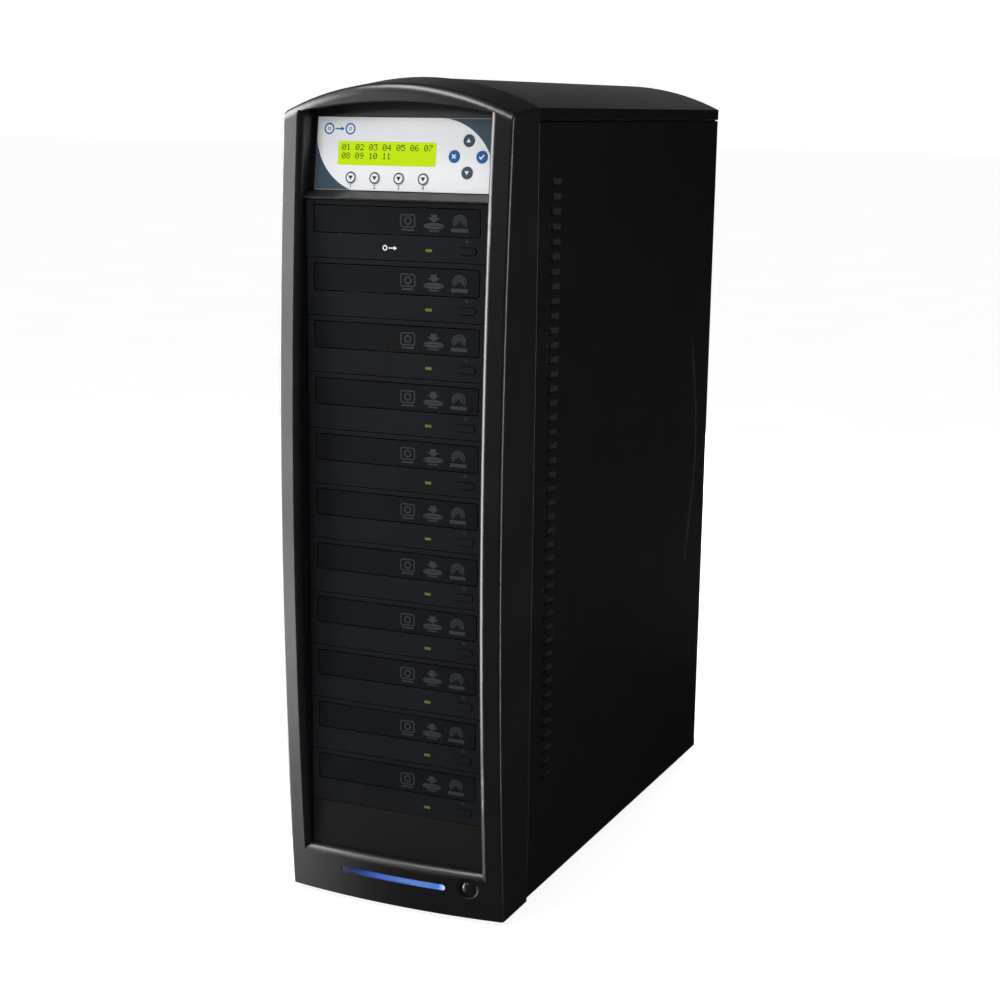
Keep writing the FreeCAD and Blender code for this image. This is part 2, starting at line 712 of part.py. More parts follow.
def panel_board():
    """Keypad board with a switch behind each key and the display module on its front."""
    front = keypad_depth()
    half = PANEL_HALF - HOUSING_WALL - PANEL_GAP
    low = HOUSING_WALL + PANEL_GAP
    board = box(-half, half, front, front + BOARD_THICKNESS, low, PANEL_HEIGHT - low)
    module = box(DISPLAY_LEFT - DISPLAY_MARGIN, DISPLAY_RIGHT + DISPLAY_MARGIN,
                 PANEL_THICKNESS + LENS_GAP, front,
                 DISPLAY_BOTTOM - DISPLAY_MARGIN, DISPLAY_TOP + DISPLAY_MARGIN)
    size = SWITCH_SIZE / 2
    switches = [box(x - size, x + size, front - SWITCH_HEIGHT, front, z - size, z + size)
                for x, z in key_places().values()]
    return on_panel(joined([board, module] + switches))


def panel_housing():
    """Tray behind the faceplate, with two rails that carry the keypad board."""
    board_back = keypad_depth() + BOARD_THICKNESS
    inner = PANEL_HALF - HOUSING_WALL
    back = HOUSING_DEPTH - HOUSING_WALL
    tray = box(-PANEL_HALF, PANEL_HALF, PANEL_THICKNESS, HOUSING_DEPTH, 0, PANEL_HEIGHT)
    hollow = box(-inner, inner, PANEL_THICKNESS, back, HOUSING_WALL, PANEL_HEIGHT - HOUSING_WALL)
    rail = box(-PANEL_HALF, -PANEL_HALF + HOUSING_RAIL, board_back, back, 0, PANEL_HEIGHT)
    return on_panel(joined([tray.cut(hollow), rail, mirrored(rail)]))


# Drives

def door_levels(top):
    """Lower and upper edge of a drive's tray door."""
    return top - DOOR_DROP - DOOR_HEIGHT, top - DOOR_DROP


def tray_levels(top):
    """Underside and upper face of a tray's plate."""
    low = door_levels(top)[0] + TRAY_LIFT
    return low, low + TRAY_THICKNESS


def eject_outline(top, clearance, y):
    """Round-ended outline of an eject button or its opening."""
    half = EJECT_HEIGHT / 2 + clearance
    reach = EJECT_WIDTH / 2 + clearance
    z = top - EJECT_DROP
    return rounded_rect(EJECT_X - reach, EJECT_X + reach, z - half, z + half, half, y)


def led_block(top, clearance, y0, y1):
    """Block of an indicator light or its opening."""
    half = LED_HEIGHT / 2 + clearance
    reach = LED_WIDTH / 2 + clearance
    z = top - LED_DROP
    return box(LED_X - reach, LED_X + reach, y0, y1, z - half, z + half)


def bay_front(top):
    """Hollow moulding as wide and high as a bay, open to the rear."""
    half = FASCIA_WIDTH / 2
    low = top - FASCIA_HEIGHT
    block = box(-half, half, FACE_Y, SHELL_Y, low, top)
    hollow = box(-half + FASCIA_WALL, half - FASCIA_WALL, FACE_Y + FASCIA_WALL, SHELL_Y,
                 low + FASCIA_WALL, top - FASCIA_WALL)
    return block.cut(hollow)


def drive_fascia(top):
    """Fascia with openings for the door, the eject button and the light."""
    low, high = door_levels(top)
    half = DOOR_WIDTH / 2 + DOOR_GAP
    door = prism(rounded_rect(-half, half, low - DOOR_GAP, high + DOOR_GAP, DOOR_CORNER, FACE_Y), FASCIA_WALL)
    eject = prism(eject_outline(top, KEY_GAP, FACE_Y), FASCIA_WALL)
    led = led_block(top, LENS_GAP, FACE_Y, FACE_Y + FASCIA_WALL)
    return bay_front(top).cut([door, eject, led])


def tray_length():
    """Length of a tray's plate, enough to stay guided when it is fully out."""
    return TRAY_TRAVEL + TRAY_HOLD


def drive_tray(top):
    """Tray plate with a disc well and an opening for the spindle and the sled, and its door."""
    low, high = door_levels(top)
    floor, face = tray_levels(top)
    half = DOOR_WIDTH / 2
    door = prism(rounded_rect(-half, half, low, high, DOOR_CORNER, FACE_Y), DOOR_THICKNESS)
    front = FACE_Y + DOOR_THICKNESS
    plate = box(-TRAY_WIDTH / 2, TRAY_WIDTH / 2, front, front + tray_length(), floor, face)
    middle = front + WELL_MARGIN + DISC_WELL_RADIUS
    well = Part.makeCylinder(DISC_WELL_RADIUS, DISC_WELL_DEPTH, Vector(0, middle, face - DISC_WELL_DEPTH))
    sled_half = SLED_OPENING_WIDTH / 2
    sled = box(-sled_half, sled_half, middle - SLED_OPENING_FRONT, middle + SLED_OPENING_REAR, floor, face)
    return joined([door, plate.cut([well, sled])])


def eject_button(top):
    """Round-ended eject button that stands a little proud of the fascia."""
    return prism(eject_outline(top, 0, FACE_Y - EJECT_PROUD), EJECT_DEPTH + EJECT_PROUD)


def drive_led(top):
    """Indicator light in its opening."""
    return led_block(top, 0, FACE_Y - LED_PROUD, FACE_Y + FASCIA_WALL)


def drive_shell(top):
    """Closed steel body of a drive with the guide channel of its tray and the space for the disc above."""
    middle = top - FASCIA_HEIGHT / 2
    half = SHELL_WIDTH / 2
    body = box(-half, half, SHELL_Y, SHELL_Y + SHELL_LENGTH,
               middle - SHELL_HEIGHT / 2, middle + SHELL_HEIGHT / 2)
    floor, face = tray_levels(top)
    guide_half = TRAY_WIDTH / 2 + SLIDE_GAP
    back = FACE_Y + DOOR_THICKNESS + tray_length() + SLIDE_GAP
    guide = box(-guide_half, guide_half, SHELL_Y, back, floor - SLIDE_GAP, face + SLIDE_GAP)
    disc_half = DISC_SPACE_WIDTH / 2
    disc = box(-disc_half, disc_half, SHELL_Y, back, face, door_levels(top)[1])
    return body.cut([guide, disc])


def bay_cover():
    """Blank cover of the lowest bay, with two clip arms along the cage."""
    top = BLANK_BOTTOM + FASCIA_HEIGHT + (BAY_PITCH - FASCIA_HEIGHT) / 2
    middle = top - FASCIA_HEIGHT / 2
    outer = SHELL_WIDTH / 2
    arm = box(outer - FASCIA_WALL, outer, FACE_Y + FASCIA_WALL, SHELL_Y + CLIP_REACH,
              middle - CLIP_HEIGHT / 2, middle + CLIP_HEIGHT / 2)
    return joined([bay_front(top), arm, mirrored(arm)])


# Chassis and case

def cover_block(inset, base, y0, y1):
    """Block under the arched cover, taken in by a wall, between two stations."""
    half = CASE_HALF - inset
    return arch_block(half, ARCH_RADIUS - inset, COVER_PEAK - inset, base, y0, y1)


def chassis_front():
    """Front frame that the bezel sits on, with one tall opening for the drives and the panel."""
    inset = CASE_HALF - INNER_HALF
    plate = cover_block(inset, FLOOR_Z + SHEET_GAP, JOINT_Y, JOINT_Y + SHEET)
    half = CAGE_HALF + SHEET_GAP
    opening = box(-half, half, JOINT_Y, JOINT_Y + SHEET, BLANK_BOTTOM - SHEET_GAP, PANEL_TOP)
    return plate.cut(opening)


def controller_front():
    """Front edge of the controller board."""
    return FACE_Y + CONTROLLER_SETBACK


def standoff_places():
    """Where the controller board's four standoffs are."""
    x = CONTROLLER_WIDTH / 2 - STANDOFF_INSET
    front = controller_front() + STANDOFF_INSET
    rear = controller_front() + CONTROLLER_LENGTH - STANDOFF_INSET
    return [(-x, front), (-x, rear), (x, front), (x, rear)]


def drive_cage():
    """Folded steel cage: two walls and a top that carries the controller board, with foot flanges."""
    y0 = PANEL_Y + SURROUND_WALL + SHEET_GAP
    y1 = SHELL_Y + SHELL_LENGTH
    behind = JOINT_Y + SHEET + SHEET_GAP
    inner = CAGE_HALF - SHEET
    walls = box(-CAGE_HALF, CAGE_HALF, y0, y1, BLANK_BOTTOM, CAGE_TOP)
    legs = box(-CAGE_HALF, CAGE_HALF, behind, y1, FLOOR_Z, CAGE_TOP)
    room = box(-inner, inner, y0, y1, FLOOR_Z, CAGE_TOP - SHEET)
    foot = box(inner, CAGE_HALF + CAGE_FLANGE, behind, y1, FLOOR_Z, FLOOR_Z + SHEET)
    stiffener = box(inner, CAGE_HALF + CAGE_FLANGE, y1 - SHEET, y1, FLOOR_Z, CAGE_TOP)
    folded = joined([walls.fuse(legs).cut(room), foot, mirrored(foot), stiffener, mirrored(stiffener)])
    standoffs = [Part.makeCylinder(STANDOFF_RADIUS, STANDOFF_HEIGHT, Vector(x, y, CAGE_TOP))
                 for x, y in standoff_places()]
    return joined([folded] + standoffs)


def controller_board():
    """Copy controller with a row of drive sockets along its rear edge."""
    z = CAGE_TOP + STANDOFF_HEIGHT
    top = z + BOARD_THICKNESS
    half = CONTROLLER_WIDTH / 2
    front = controller_front()
    board = box(-half, half, front, front + CONTROLLER_LENGTH, z, top)
    pitch = CONTROLLER_WIDTH / (DRIVE_COUNT + 1)
    sockets = []
    for index in range(DRIVE_COUNT):
        x = -half + pitch * (index + 1)
        back = front + CONTROLLER_LENGTH
        sockets.append(box(x - SOCKET_WIDTH / 2, x + SOCKET_WIDTH / 2, back - SOCKET_LENGTH, back,
                           top, top + SOCKET_HEIGHT))
    return joined([board] + sockets)


def base_tray():
    """Floor of the case: a lip that shows under each side panel and a flange inside it."""
    y0 = JOINT_Y + SHEET + SHEET_GAP
    floor = box(-CASE_HALF, CASE_HALF, y0, REAR_Y, CASE_BOTTOM, FLOOR_Z)
    lip = box(CASE_HALF - SHEET, CASE_HALF, y0, REAR_Y, CASE_BOTTOM, CASE_BOTTOM + BASE_LIP)
    flange = box(INNER_HALF - SHEET, INNER_HALF, y0 + SIDE_SHEET + SHEET_GAP, REAR_PANEL_Y - SHEET_GAP,
                 CASE_BOTTOM, FLOOR_Z + BASE_FLANGE)
    return joined([floor, lip, mirrored(lip), flange, mirrored(flange)])


def top_cover():
    """Arched sheet over the case with a skirt down each side."""
    y0 = JOINT_Y + SEAM
    base = SIDE_TOP + SEAM
    return cover_block(0, base, y0, REAR_Y).cut(cover_block(SHEET, base, y0, REAR_Y))


def screw_levels():
    """Levels of the two thumb screws on each side."""
    return [SIDE_BOTTOM + SCREW_END_INSET, SIDE_TOP - SCREW_END_INSET]


def screw_x():
    """Distance of the thumb screws from the middle."""
    return CASE_HALF - REAR_LIP / 2


def screw_holes():
    """Clearance holes for the thumb screws."""
    radius = SCREW_SHANK_RADIUS + SCREW_HOLE_GAP
    return [rod(radius, side * screw_x(), z, REAR_PANEL_Y, REAR_Y)
            for side in (-1, 1) for z in screw_levels()]


def scoops(mouth, depth, margin):
    """Column of wedges from the level of their mouths, deeper towards the rear and shorter on the way out."""
    front = JOINT_Y + SCOOP_SETBACK
    bottom = front + SCOOP_RUN_IN
    rear = bottom + SCOOP_RUN_OUT
    height = SCOOP_HEIGHT + 2 * margin
    wedges = []
    for index in range(SCOOP_COUNT):
        z = SHOULDER_Z - SCOOP_TOP_DROP - index * SCOOP_PITCH - height / 2
        wedge = polygon([Vector(mouth, front, z), Vector(mouth, rear, z), Vector(mouth - depth, bottom, z)])
        wedges.append(Part.Face(Part.Wire(wedge)).extrude(Vector(0, 0, height)))
    return wedges


def finger_grip():
    """Crescent recess near the rear edge of a side panel."""
    x = CASE_HALF - GRIP_DEPTH
    y = REAR_Y - GRIP_INSET
    z = (SIDE_BOTTOM + SIDE_TOP) / 2
    low = Vector(x, y, z - GRIP_HEIGHT / 2)
    high = Vector(x, y, z + GRIP_HEIGHT / 2)
    outer = arc(low, Vector(x, y + GRIP_BOW, z), high)
    inner = arc(high, Vector(x, y + GRIP_BOW - GRIP_WIDTH, z), low)
    return Part.Face(Part.Wire([outer, inner])).extrude(Vector(2 * GRIP_DEPTH, 0, 0))


def side_panel():
    """Right side panel: folded front, rear and top edges, pressed scoops and a finger grip."""
    y0 = JOINT_Y + SEAM
    inner = CASE_HALF - SIDE_SHEET
    behind = JOINT_Y + SHEET + SHEET_GAP
    flange = inner - SIDE_FLANGE
    sheet = box(inner, CASE_HALF, y0, REAR_Y, SIDE_BOTTOM, SIDE_TOP)
    front = box(flange, CASE_HALF, behind, behind + SIDE_SHEET, SIDE_BOTTOM, SIDE_TOP)
    rear = box(CASE_HALF - REAR_LIP, CASE_HALF, REAR_Y - SIDE_SHEET, REAR_Y, SIDE_BOTTOM, SIDE_TOP)
    upper = box(flange, CASE_HALF, behind, REAR_PANEL_Y - SHEET_GAP, SIDE_TOP - SIDE_SHEET, SIDE_TOP)
    panel = joined([sheet, front, rear, upper])
    folds = [edge for edge in panel.Edges
             if edge.BoundBox.XMin > CASE_HALF - NEAR and edge.BoundBox.ZMax > SIDE_BOTTOM + NEAR]
    panel = panel.makeFillet(FOLD_ROUND, folds)
    panel = panel.fuse(scoops(inner, SCOOP_DEPTH + SCOOP_WALL - SIDE_SHEET, SCOOP_WALL))
    return panel.cut(scoops(CASE_HALF, SCOOP_DEPTH, 0) + [finger_grip()] + screw_holes())


def fan_levels():
    """Levels of the two exhaust fans, below the power supply."""
    upper = psu_bottom() - FAN_DROP - FAN_SIZE / 2
    return [upper, upper - FAN_SIZE - FAN_SPACING]


def grille_slots(x, z, radius, y0, y1):
    """Rows of stamped slots that fill a circle, on each side of a middle rib."""
    pitch = 2 * radius / GRILLE_ROWS
    half = GRILLE_SLOT / 2
    slots = []
    for row in range(GRILLE_ROWS):
        level = (row - (GRILLE_ROWS - 1) / 2) * pitch
        reach = math.sqrt(radius ** 2 - (abs(level) + half) ** 2)
        for x0, x1 in ((-reach, -GRILLE_RIB / 2), (GRILLE_RIB / 2, reach)):
            slots.append(box(x + x0, x + x1, y0, y1, z + level - half, z + level + half))
    return slots


def rear_panel():
    """Rear wall with fan grilles and a cut-out that shows the back of the power supply."""
    back = REAR_PANEL_Y + SHEET
    plate = cover_block(CASE_HALF - INNER_HALF, FLOOR_Z + SHEET_GAP, REAR_PANEL_Y, back)
    half = PSU_WIDTH / 2 - PSU_RIM
    low = psu_bottom() + PSU_RIM
    cutters = [box(-half, half, REAR_PANEL_Y, back, low, psu_bottom() + PSU_HEIGHT - PSU_RIM)]
    for z in fan_levels():
        cutters += grille_slots(0, z, FAN_BORE_RADIUS, REAR_PANEL_Y, back)
    return plate.cut(cutters + screw_holes())


def feet():
    """Four tapered rubber feet under the base."""
    x = CASE_HALF - FOOT_INSET_X
    shapes = []
    for y in (JOINT_Y + FOOT_INSET_Y, REAR_Y - FOOT_INSET_Y):
        for side in (-1, 1):
            shapes.append(Part.makeCone(FOOT_RADIUS - FOOT_TAPER, FOOT_RADIUS, FOOT_HEIGHT,
                                        Vector(side * x, y, 0)))
    return Part.makeCompound(shapes)


def thumb_screws():
    """Four thumb screws that hold the side panels at the rear."""
    shapes = []
    for side in (-1, 1):
        for z in screw_levels():
            head = rod(SCREW_HEAD_RADIUS, side * screw_x(), z, REAR_Y, REAR_Y + SCREW_HEAD_HEIGHT)
            shank = rod(SCREW_SHANK_RADIUS, side * screw_x(), z, REAR_Y - SCREW_SHANK_LENGTH, REAR_Y)
            shapes.append(joined([head, shank]))
    return Part.makeCompound(shapes)


# Fans

def fan_blade(root, tip, depth):
    """Flat slanting blade that widens from the root to the tip and takes up that depth along Y."""
    angle = math.radians(BLADE_ANGLE)
    along = Vector(0, math.sin(angle), math.cos(angle))
    across = Vector(0, math.cos(angle), -math.sin(angle)) * BLADE_THICKNESS
    tip_half = along * (depth / math.sin(angle) / 2)
    root_half = tip_half * BLADE_ROOT_SHARE
    start = Vector(root, 0, 0) - across / 2
    end = Vector(tip, 0, 0) - across / 2
    outline = polygon([start - root_half, end - tip_half, end + tip_half, start + root_half])
    return Part.Face(Part.Wire(outline)).extrude(across)


def fan_rotor(x, z, y0, tip_radius):
    """Hub with slanting blades that widen outward. It turns on a shaft that enters the hub at y0."""
    y1 = y0 + FAN_HUB_HEIGHT
    blade = fan_blade(FAN_HUB_RADIUS - BLADE_THICKNESS, tip_radius, FAN_HUB_HEIGHT - 2 * BLADE_THICKNESS)
    blade.translate(Vector(0, (y0 + y1) / 2, 0))
    blades = []
    for index in range(FAN_BLADES):
        turned = blade.copy()
        turned.rotate(Vector(0, 0, 0), Vector(0, 1, 0), 360 * index / FAN_BLADES)
        blades.append(turned)
    hub = rod(FAN_HUB_RADIUS, 0, 0, y0, y1)
    rotor = joined([hub] + blades).cut(rod(SHAFT_RADIUS + SHAFT_GAP, 0, 0, y0, y1 - BLADE_THICKNESS))
    rotor.translate(Vector(x, 0, z))
    return rotor


def shaft(x, z, y0):
    """Shaft that carries a rotor, from its base station."""
    return rod(SHAFT_RADIUS, x, z, y0, y0 + FAN_HUB_HEIGHT - 2 * BLADE_THICKNESS)


def fan_front():
    """Inner face of the exhaust fans, which stand against the rear panel."""
    return REAR_PANEL_Y - FAN_DEPTH


def fan_frame(z):
    """Square fan frame with a round duct, and a motor plate on four struts that holds the shaft."""
    half = FAN_SIZE / 2
    y0 = fan_front()
    frame = prism(rounded_rect(-half, half, z - half, z + half, FAN_CORNER, y0), FAN_DEPTH)
    frame = frame.cut(rod(FAN_BORE_RADIUS, 0, z, y0, REAR_PANEL_Y))
    plate = rod(FAN_HUB_RADIUS, 0, z, y0, y0 + STRUT_DEPTH)
    bar = STRUT_WIDTH / 2
    reach = FAN_BORE_RADIUS + STRUT_BITE
    upright_bar = box(-bar, bar, y0, y0 + STRUT_DEPTH, z - reach, z + reach)
    level_bar = box(-reach, reach, y0, y0 + STRUT_DEPTH, z - bar, z + bar)
    return joined([frame, plate, upright_bar, level_bar, shaft(0, z, y0 + STRUT_DEPTH)])


def exhaust_rotor(z):
    """Rotor of an exhaust fan, just clear of its motor plate."""
    return fan_rotor(0, z, fan_front() + STRUT_DEPTH + KEY_GAP, FAN_BORE_RADIUS - FAN_TIP_GAP)


# Power supply

def psu_bottom():
    """Level of the power supply's underside."""
    return STACK_TOP + PSU_RISE - PSU_HEIGHT


def psu_fan_level():
    """Level of the power supply's fan."""
    return psu_bottom() + PSU_HEIGHT / 2


def psu_fan_room():
    """Front and rear station of the fan's room inside the power supply."""
    return REAR_PANEL_Y - PSU_SHEET - FAN_DEPTH, REAR_PANEL_Y - PSU_SHEET


def rocker_place():
    """X and level of the middle of the mains switch."""
    return INLET_X, psu_bottom() + ROCKER_RISE


def rocker_axis_y():
    """Y of the mains switch's pivot."""
    return REAR_PANEL_Y - ROCKER_DEPTH / 2


def psu_case():
    """Closed body of the power supply with a fan room behind a grille and pockets for inlet and switch."""
    half = PSU_WIDTH / 2
    low = psu_bottom()
    body = box(-half, half, REAR_PANEL_Y - PSU_LENGTH, REAR_PANEL_Y, low, low + PSU_HEIGHT)
    room_front, room_back = psu_fan_room()
    fan_z = psu_fan_level()
    room = rod(PSU_FAN_RADIUS + FAN_TIP_GAP, PSU_FAN_X, fan_z, room_front, room_back)
    slots = grille_slots(PSU_FAN_X, fan_z, PSU_FAN_RADIUS, room_back, REAR_PANEL_Y)
    inlet_half = INLET_WIDTH / 2 + LENS_GAP
    inlet_high = INLET_HEIGHT / 2 + LENS_GAP
    inlet_z = low + INLET_RISE
    inlet = box(INLET_X - inlet_half, INLET_X + inlet_half,
                REAR_PANEL_Y - INLET_DEPTH - LENS_GAP, REAR_PANEL_Y,
                inlet_z - inlet_high, inlet_z + inlet_high)
    rocker_x, rocker_z = rocker_place()
    room_half = ROCKER_WIDTH / 2 + KEY_GAP
    room_high = ROCKER_HEIGHT / 2 + ROCKER_ROOM
    pocket = box(rocker_x - room_half, rocker_x + room_half, REAR_PANEL_Y - ROCKER_DEPTH - 2 * ROCKER_ROOM,
                 REAR_PANEL_Y, rocker_z - room_high, rocker_z + room_high)
    pin_reach = room_half + ROCKER_PIN_LENGTH
    pivots = Part.makeCylinder(ROCKER_PIN_RADIUS + SHAFT_GAP, 2 * pin_reach,
                               Vector(rocker_x - pin_reach, rocker_axis_y(), rocker_z), Vector(1, 0, 0))
    hollowed = body.cut([room, inlet, pocket, pivots] + slots)
    return joined([hollowed, shaft(PSU_FAN_X, fan_z, room_front)])


def psu_fan():
    """Rotor of the power supply's fan."""
    return fan_rotor(PSU_FAN_X, psu_fan_level(), psu_fan_room()[0] + KEY_GAP, PSU_FAN_RADIUS)


def inlet_mouth(x, z, y0, y1):
    """Hollow of the mains inlet, with its two upper corners cut off."""
    half = INLET_MOUTH_WIDTH / 2
    low = z - INLET_MOUTH_HEIGHT / 2
    high = z + INLET_MOUTH_HEIGHT / 2
    outline = [(-half, low), (half, low), (half, high - INLET_CHAMFER), (half - INLET_CHAMFER, high),
               (INLET_CHAMFER - half, high), (-half, high - INLET_CHAMFER)]
    return prism(polygon([Vector(x + dx, y0, level) for dx, level in outline]), y1 - y0)


def psu_inlet():
    """Mains inlet: flanged shroud with three flat pins."""
    z = psu_bottom() + INLET_RISE
    half = INLET_WIDTH / 2
    high = INLET_HEIGHT / 2
    front = REAR_PANEL_Y - INLET_DEPTH
    back = REAR_PANEL_Y + INLET_FLANGE_THICKNESS
    shroud = box(INLET_X - half, INLET_X + half, front, back, z - high, z + high)
    flange = box(INLET_X - half - INLET_FLANGE, INLET_X + half + INLET_FLANGE, REAR_PANEL_Y, back,
                 z - high - INLET_FLANGE, z + high + INLET_FLANGE)
    floor = back - INLET_MOUTH_DEPTH
    body = joined([shroud, flange]).cut(inlet_mouth(INLET_X, z, floor, back))
    places = [(-PIN_SPACING / 2, -PIN_EARTH_RISE / 2), (PIN_SPACING / 2, -PIN_EARTH_RISE / 2),
              (0, PIN_EARTH_RISE / 2)]
    pins = [box(INLET_X + dx - PIN_WIDTH / 2, INLET_X + dx + PIN_WIDTH / 2, floor, floor + PIN_LENGTH,
                z + dz - PIN_HEIGHT / 2, z + dz + PIN_HEIGHT / 2) for dx, dz in places]
    return joined([body] + pins)


def psu_switch():
    """Mains rocker, tipped to its off side, on two pivot pins."""
    x, z = rocker_place()
    y = rocker_axis_y()
    half = ROCKER_WIDTH / 2
    high = ROCKER_HEIGHT / 2
    back = REAR_PANEL_Y + ROCKER_PROUD
    dip = ROCKER_HEIGHT / 2 * math.tan(math.radians(ROCKER_LEAN))
    profile = [(y - ROCKER_DEPTH / 2, z - high), (back + dip, z - high), (back, z), (back + dip, z + high),
               (y - ROCKER_DEPTH / 2, z + high)]
    points = [Vector(x - half, py, pz) for py, pz in profile]
    body = Part.Face(Part.Wire(polygon(points))).extrude(Vector(ROCKER_WIDTH, 0, 0))
    pin_half = half + ROCKER_PIN_LENGTH
    pins = Part.makeCylinder(ROCKER_PIN_RADIUS, 2 * pin_half, Vector(x - pin_half, y, z), Vector(1, 0, 0))
    rocker = joined([body, pins])
    rocker.rotate(Vector(x, y, z), Vector(1, 0, 0), ROCKER_LEAN)
    return rocker


# Assembly

def drive_nodes():
    """The drives: shared groups for what stays still, and one tray and one button for each drive."""
    tops = [drive_top(index) for index in range(DRIVE_COUNT)]
    nodes = {"drive_fascias": Part.makeCompound([drive_fascia(top) for top in tops]),
             "drive_shells": Part.makeCompound([drive_shell(top) for top in tops]),
             "drive_leds": Part.makeCompound([drive_led(top) for top in tops])}
    for index, top in enumerate(tops):
        nodes["drive_tray_%02d" % (index + 1)] = drive_tray(top)
        nodes["eject_button_%02d" % (index + 1)] = eject_button(top)
    return nodes


def panel_nodes():
    """The control panel and its keys."""
    nodes = {"panel_plate": panel_plate(), "display_window": display_window(),
             "panel_board": panel_board(), "panel_housing": panel_housing()}
    for name, (x, z) in key_places().items():
        nodes[name] = panel_key(x, z)
    return nodes


def case_nodes():
    """Bezel, chassis, case, fans and power supply."""
    right = side_panel()
    upper, lower = fan_levels()
    return {"front_bezel": front_bezel(), "light_bar": light_bar(), "power_button": power_button(),
            "front_board": front_board(), "bay_cover": bay_cover(), "chassis_front": chassis_front(),
            "drive_cage": drive_cage(), "controller_board": controller_board(), "base_tray": base_tray(),
            "top_cover": top_cover(), "right_side_panel": right, "left_side_panel": mirrored(right),
            "rear_panel": rear_panel(), "feet": feet(), "thumb_screws": thumb_screws(),
            "fan_frames": Part.makeCompound([fan_frame(upper), fan_frame(lower)]),
            "fan_rotor_upper": exhaust_rotor(upper), "fan_rotor_lower": exhaust_rotor(lower),
            "psu_case": psu_case(), "psu_fan": psu_fan(), "psu_inlet": psu_inlet(),
            "psu_switch": psu_switch()}


os.makedirs("parts", exist_ok=True)
for node, shape in {**case_nodes(), **panel_nodes(), **drive_nodes()}.items():
    shape.exportStep("parts/%s.step" % node)
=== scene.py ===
# %% [markdown]
# # Disc duplicator tower
# The tower's shapes come from its CAD model: a moulded front bezel, eleven optical drives, a control
# panel and a steel case. This lesson dresses that model. It gives each solid a finish that is made of
# shader nodes, adds what is printed on the plastic as thin films of ink, and sets a studio round it.
# Working on top of the CAD solids, and not on a new model, means that every size stays true and every
# tray and key can still move.

# %% Load the CAD model as a fixed frame
import math

import bpy
import numpy as np
from mathutils import Matrix, Vector


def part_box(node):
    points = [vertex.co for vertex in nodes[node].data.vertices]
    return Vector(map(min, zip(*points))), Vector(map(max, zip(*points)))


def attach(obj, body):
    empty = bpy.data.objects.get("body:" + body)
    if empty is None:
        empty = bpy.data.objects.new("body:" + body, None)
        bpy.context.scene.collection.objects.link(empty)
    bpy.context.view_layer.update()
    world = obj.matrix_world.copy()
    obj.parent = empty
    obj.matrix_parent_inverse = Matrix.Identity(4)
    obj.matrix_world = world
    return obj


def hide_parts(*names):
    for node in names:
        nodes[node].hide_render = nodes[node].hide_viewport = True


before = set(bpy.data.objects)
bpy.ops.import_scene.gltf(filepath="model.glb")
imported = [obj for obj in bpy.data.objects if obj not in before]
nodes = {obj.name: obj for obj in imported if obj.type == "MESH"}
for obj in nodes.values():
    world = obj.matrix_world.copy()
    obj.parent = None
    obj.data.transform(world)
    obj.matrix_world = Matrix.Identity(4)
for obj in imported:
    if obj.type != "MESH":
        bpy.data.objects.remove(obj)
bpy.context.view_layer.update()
MM = 0.001

# %% [markdown]
# ## Colours and nodes
# A finish starts from colours that can be read off a colour card. Those are sRGB values, while a shader
# works in linear light, so one function converts them. A second small function adds any shader node
# with its settings and its links, which keeps each finish below short enough to read as a recipe.

# %% Helpers for finishes
# A Mix node that blends colours has several sockets of one name, so they are called by number.
MIX_SHARE, MIX_FROM, MIX_TO, MIXED = 0, 6, 7, 2


def linear(code):
    """sRGB hex to linear light.

    A channel c becomes c / 12.92 up to 0.04045, and ((c + 0.055) / 1.055) ** 2.4 above it.
    """
    channel = np.array([int(code[i:i + 2], 16) for i in (1, 3, 5)]) / 255
    light = np.where(channel <= 0.04045, channel / 12.92, ((channel + 0.055) / 1.055) ** 2.4)
    return (*light.tolist(), 1.0)


def add(tree, kind, inputs=(), **settings):
    """Adds a node. Settings are its own properties.

    Inputs are values or linked outputs, by socket name or number.
    """
    node = tree.nodes.new("ShaderNode" + kind)
    for key, value in settings.items():
        setattr(node, key, value)
    for key, value in dict(inputs).items():
        if isinstance(value, bpy.types.NodeSocket):
            tree.links.new(value, node.inputs[key])
        else:
            node.inputs[key].default_value = value
    return node


def start_finish(name, inputs):
    """A new material with one Principled shader that has these inputs.

    Gives the material, its tree and the shader.
    """
    material = bpy.data.materials.new(name)
    material.use_nodes = True
    tree = material.node_tree
    tree.nodes.clear()
    shader = add(tree, "BsdfPrincipled", inputs)
    add(tree, "OutputMaterial", {"Surface": shader.outputs["BSDF"]})
    return material, tree, shader


def per_mm(size):
    """Texture scale at which one cell of a pattern is that many millimetres across."""
    return 1 / (size * MM)


print("black moulding in linear light:", linear("#17181a"))

# %% [markdown]
# ## The skin of a moulding
# A moulded part takes over the texture of its mould, and its colour is never quite even. Both can be
# made from noise: a fine one bends the surface a little, and a slow one moves the colour and the gloss.
# A bevel node rounds the light on sharp edges, because no real moulding or folded sheet has a perfectly
# sharp one. One function does this for all mouldings, so a finish only has to state its tones, its
# texture and its gloss.

# %% Skin of mouldings and paint
CLOUD_MM = 45.0


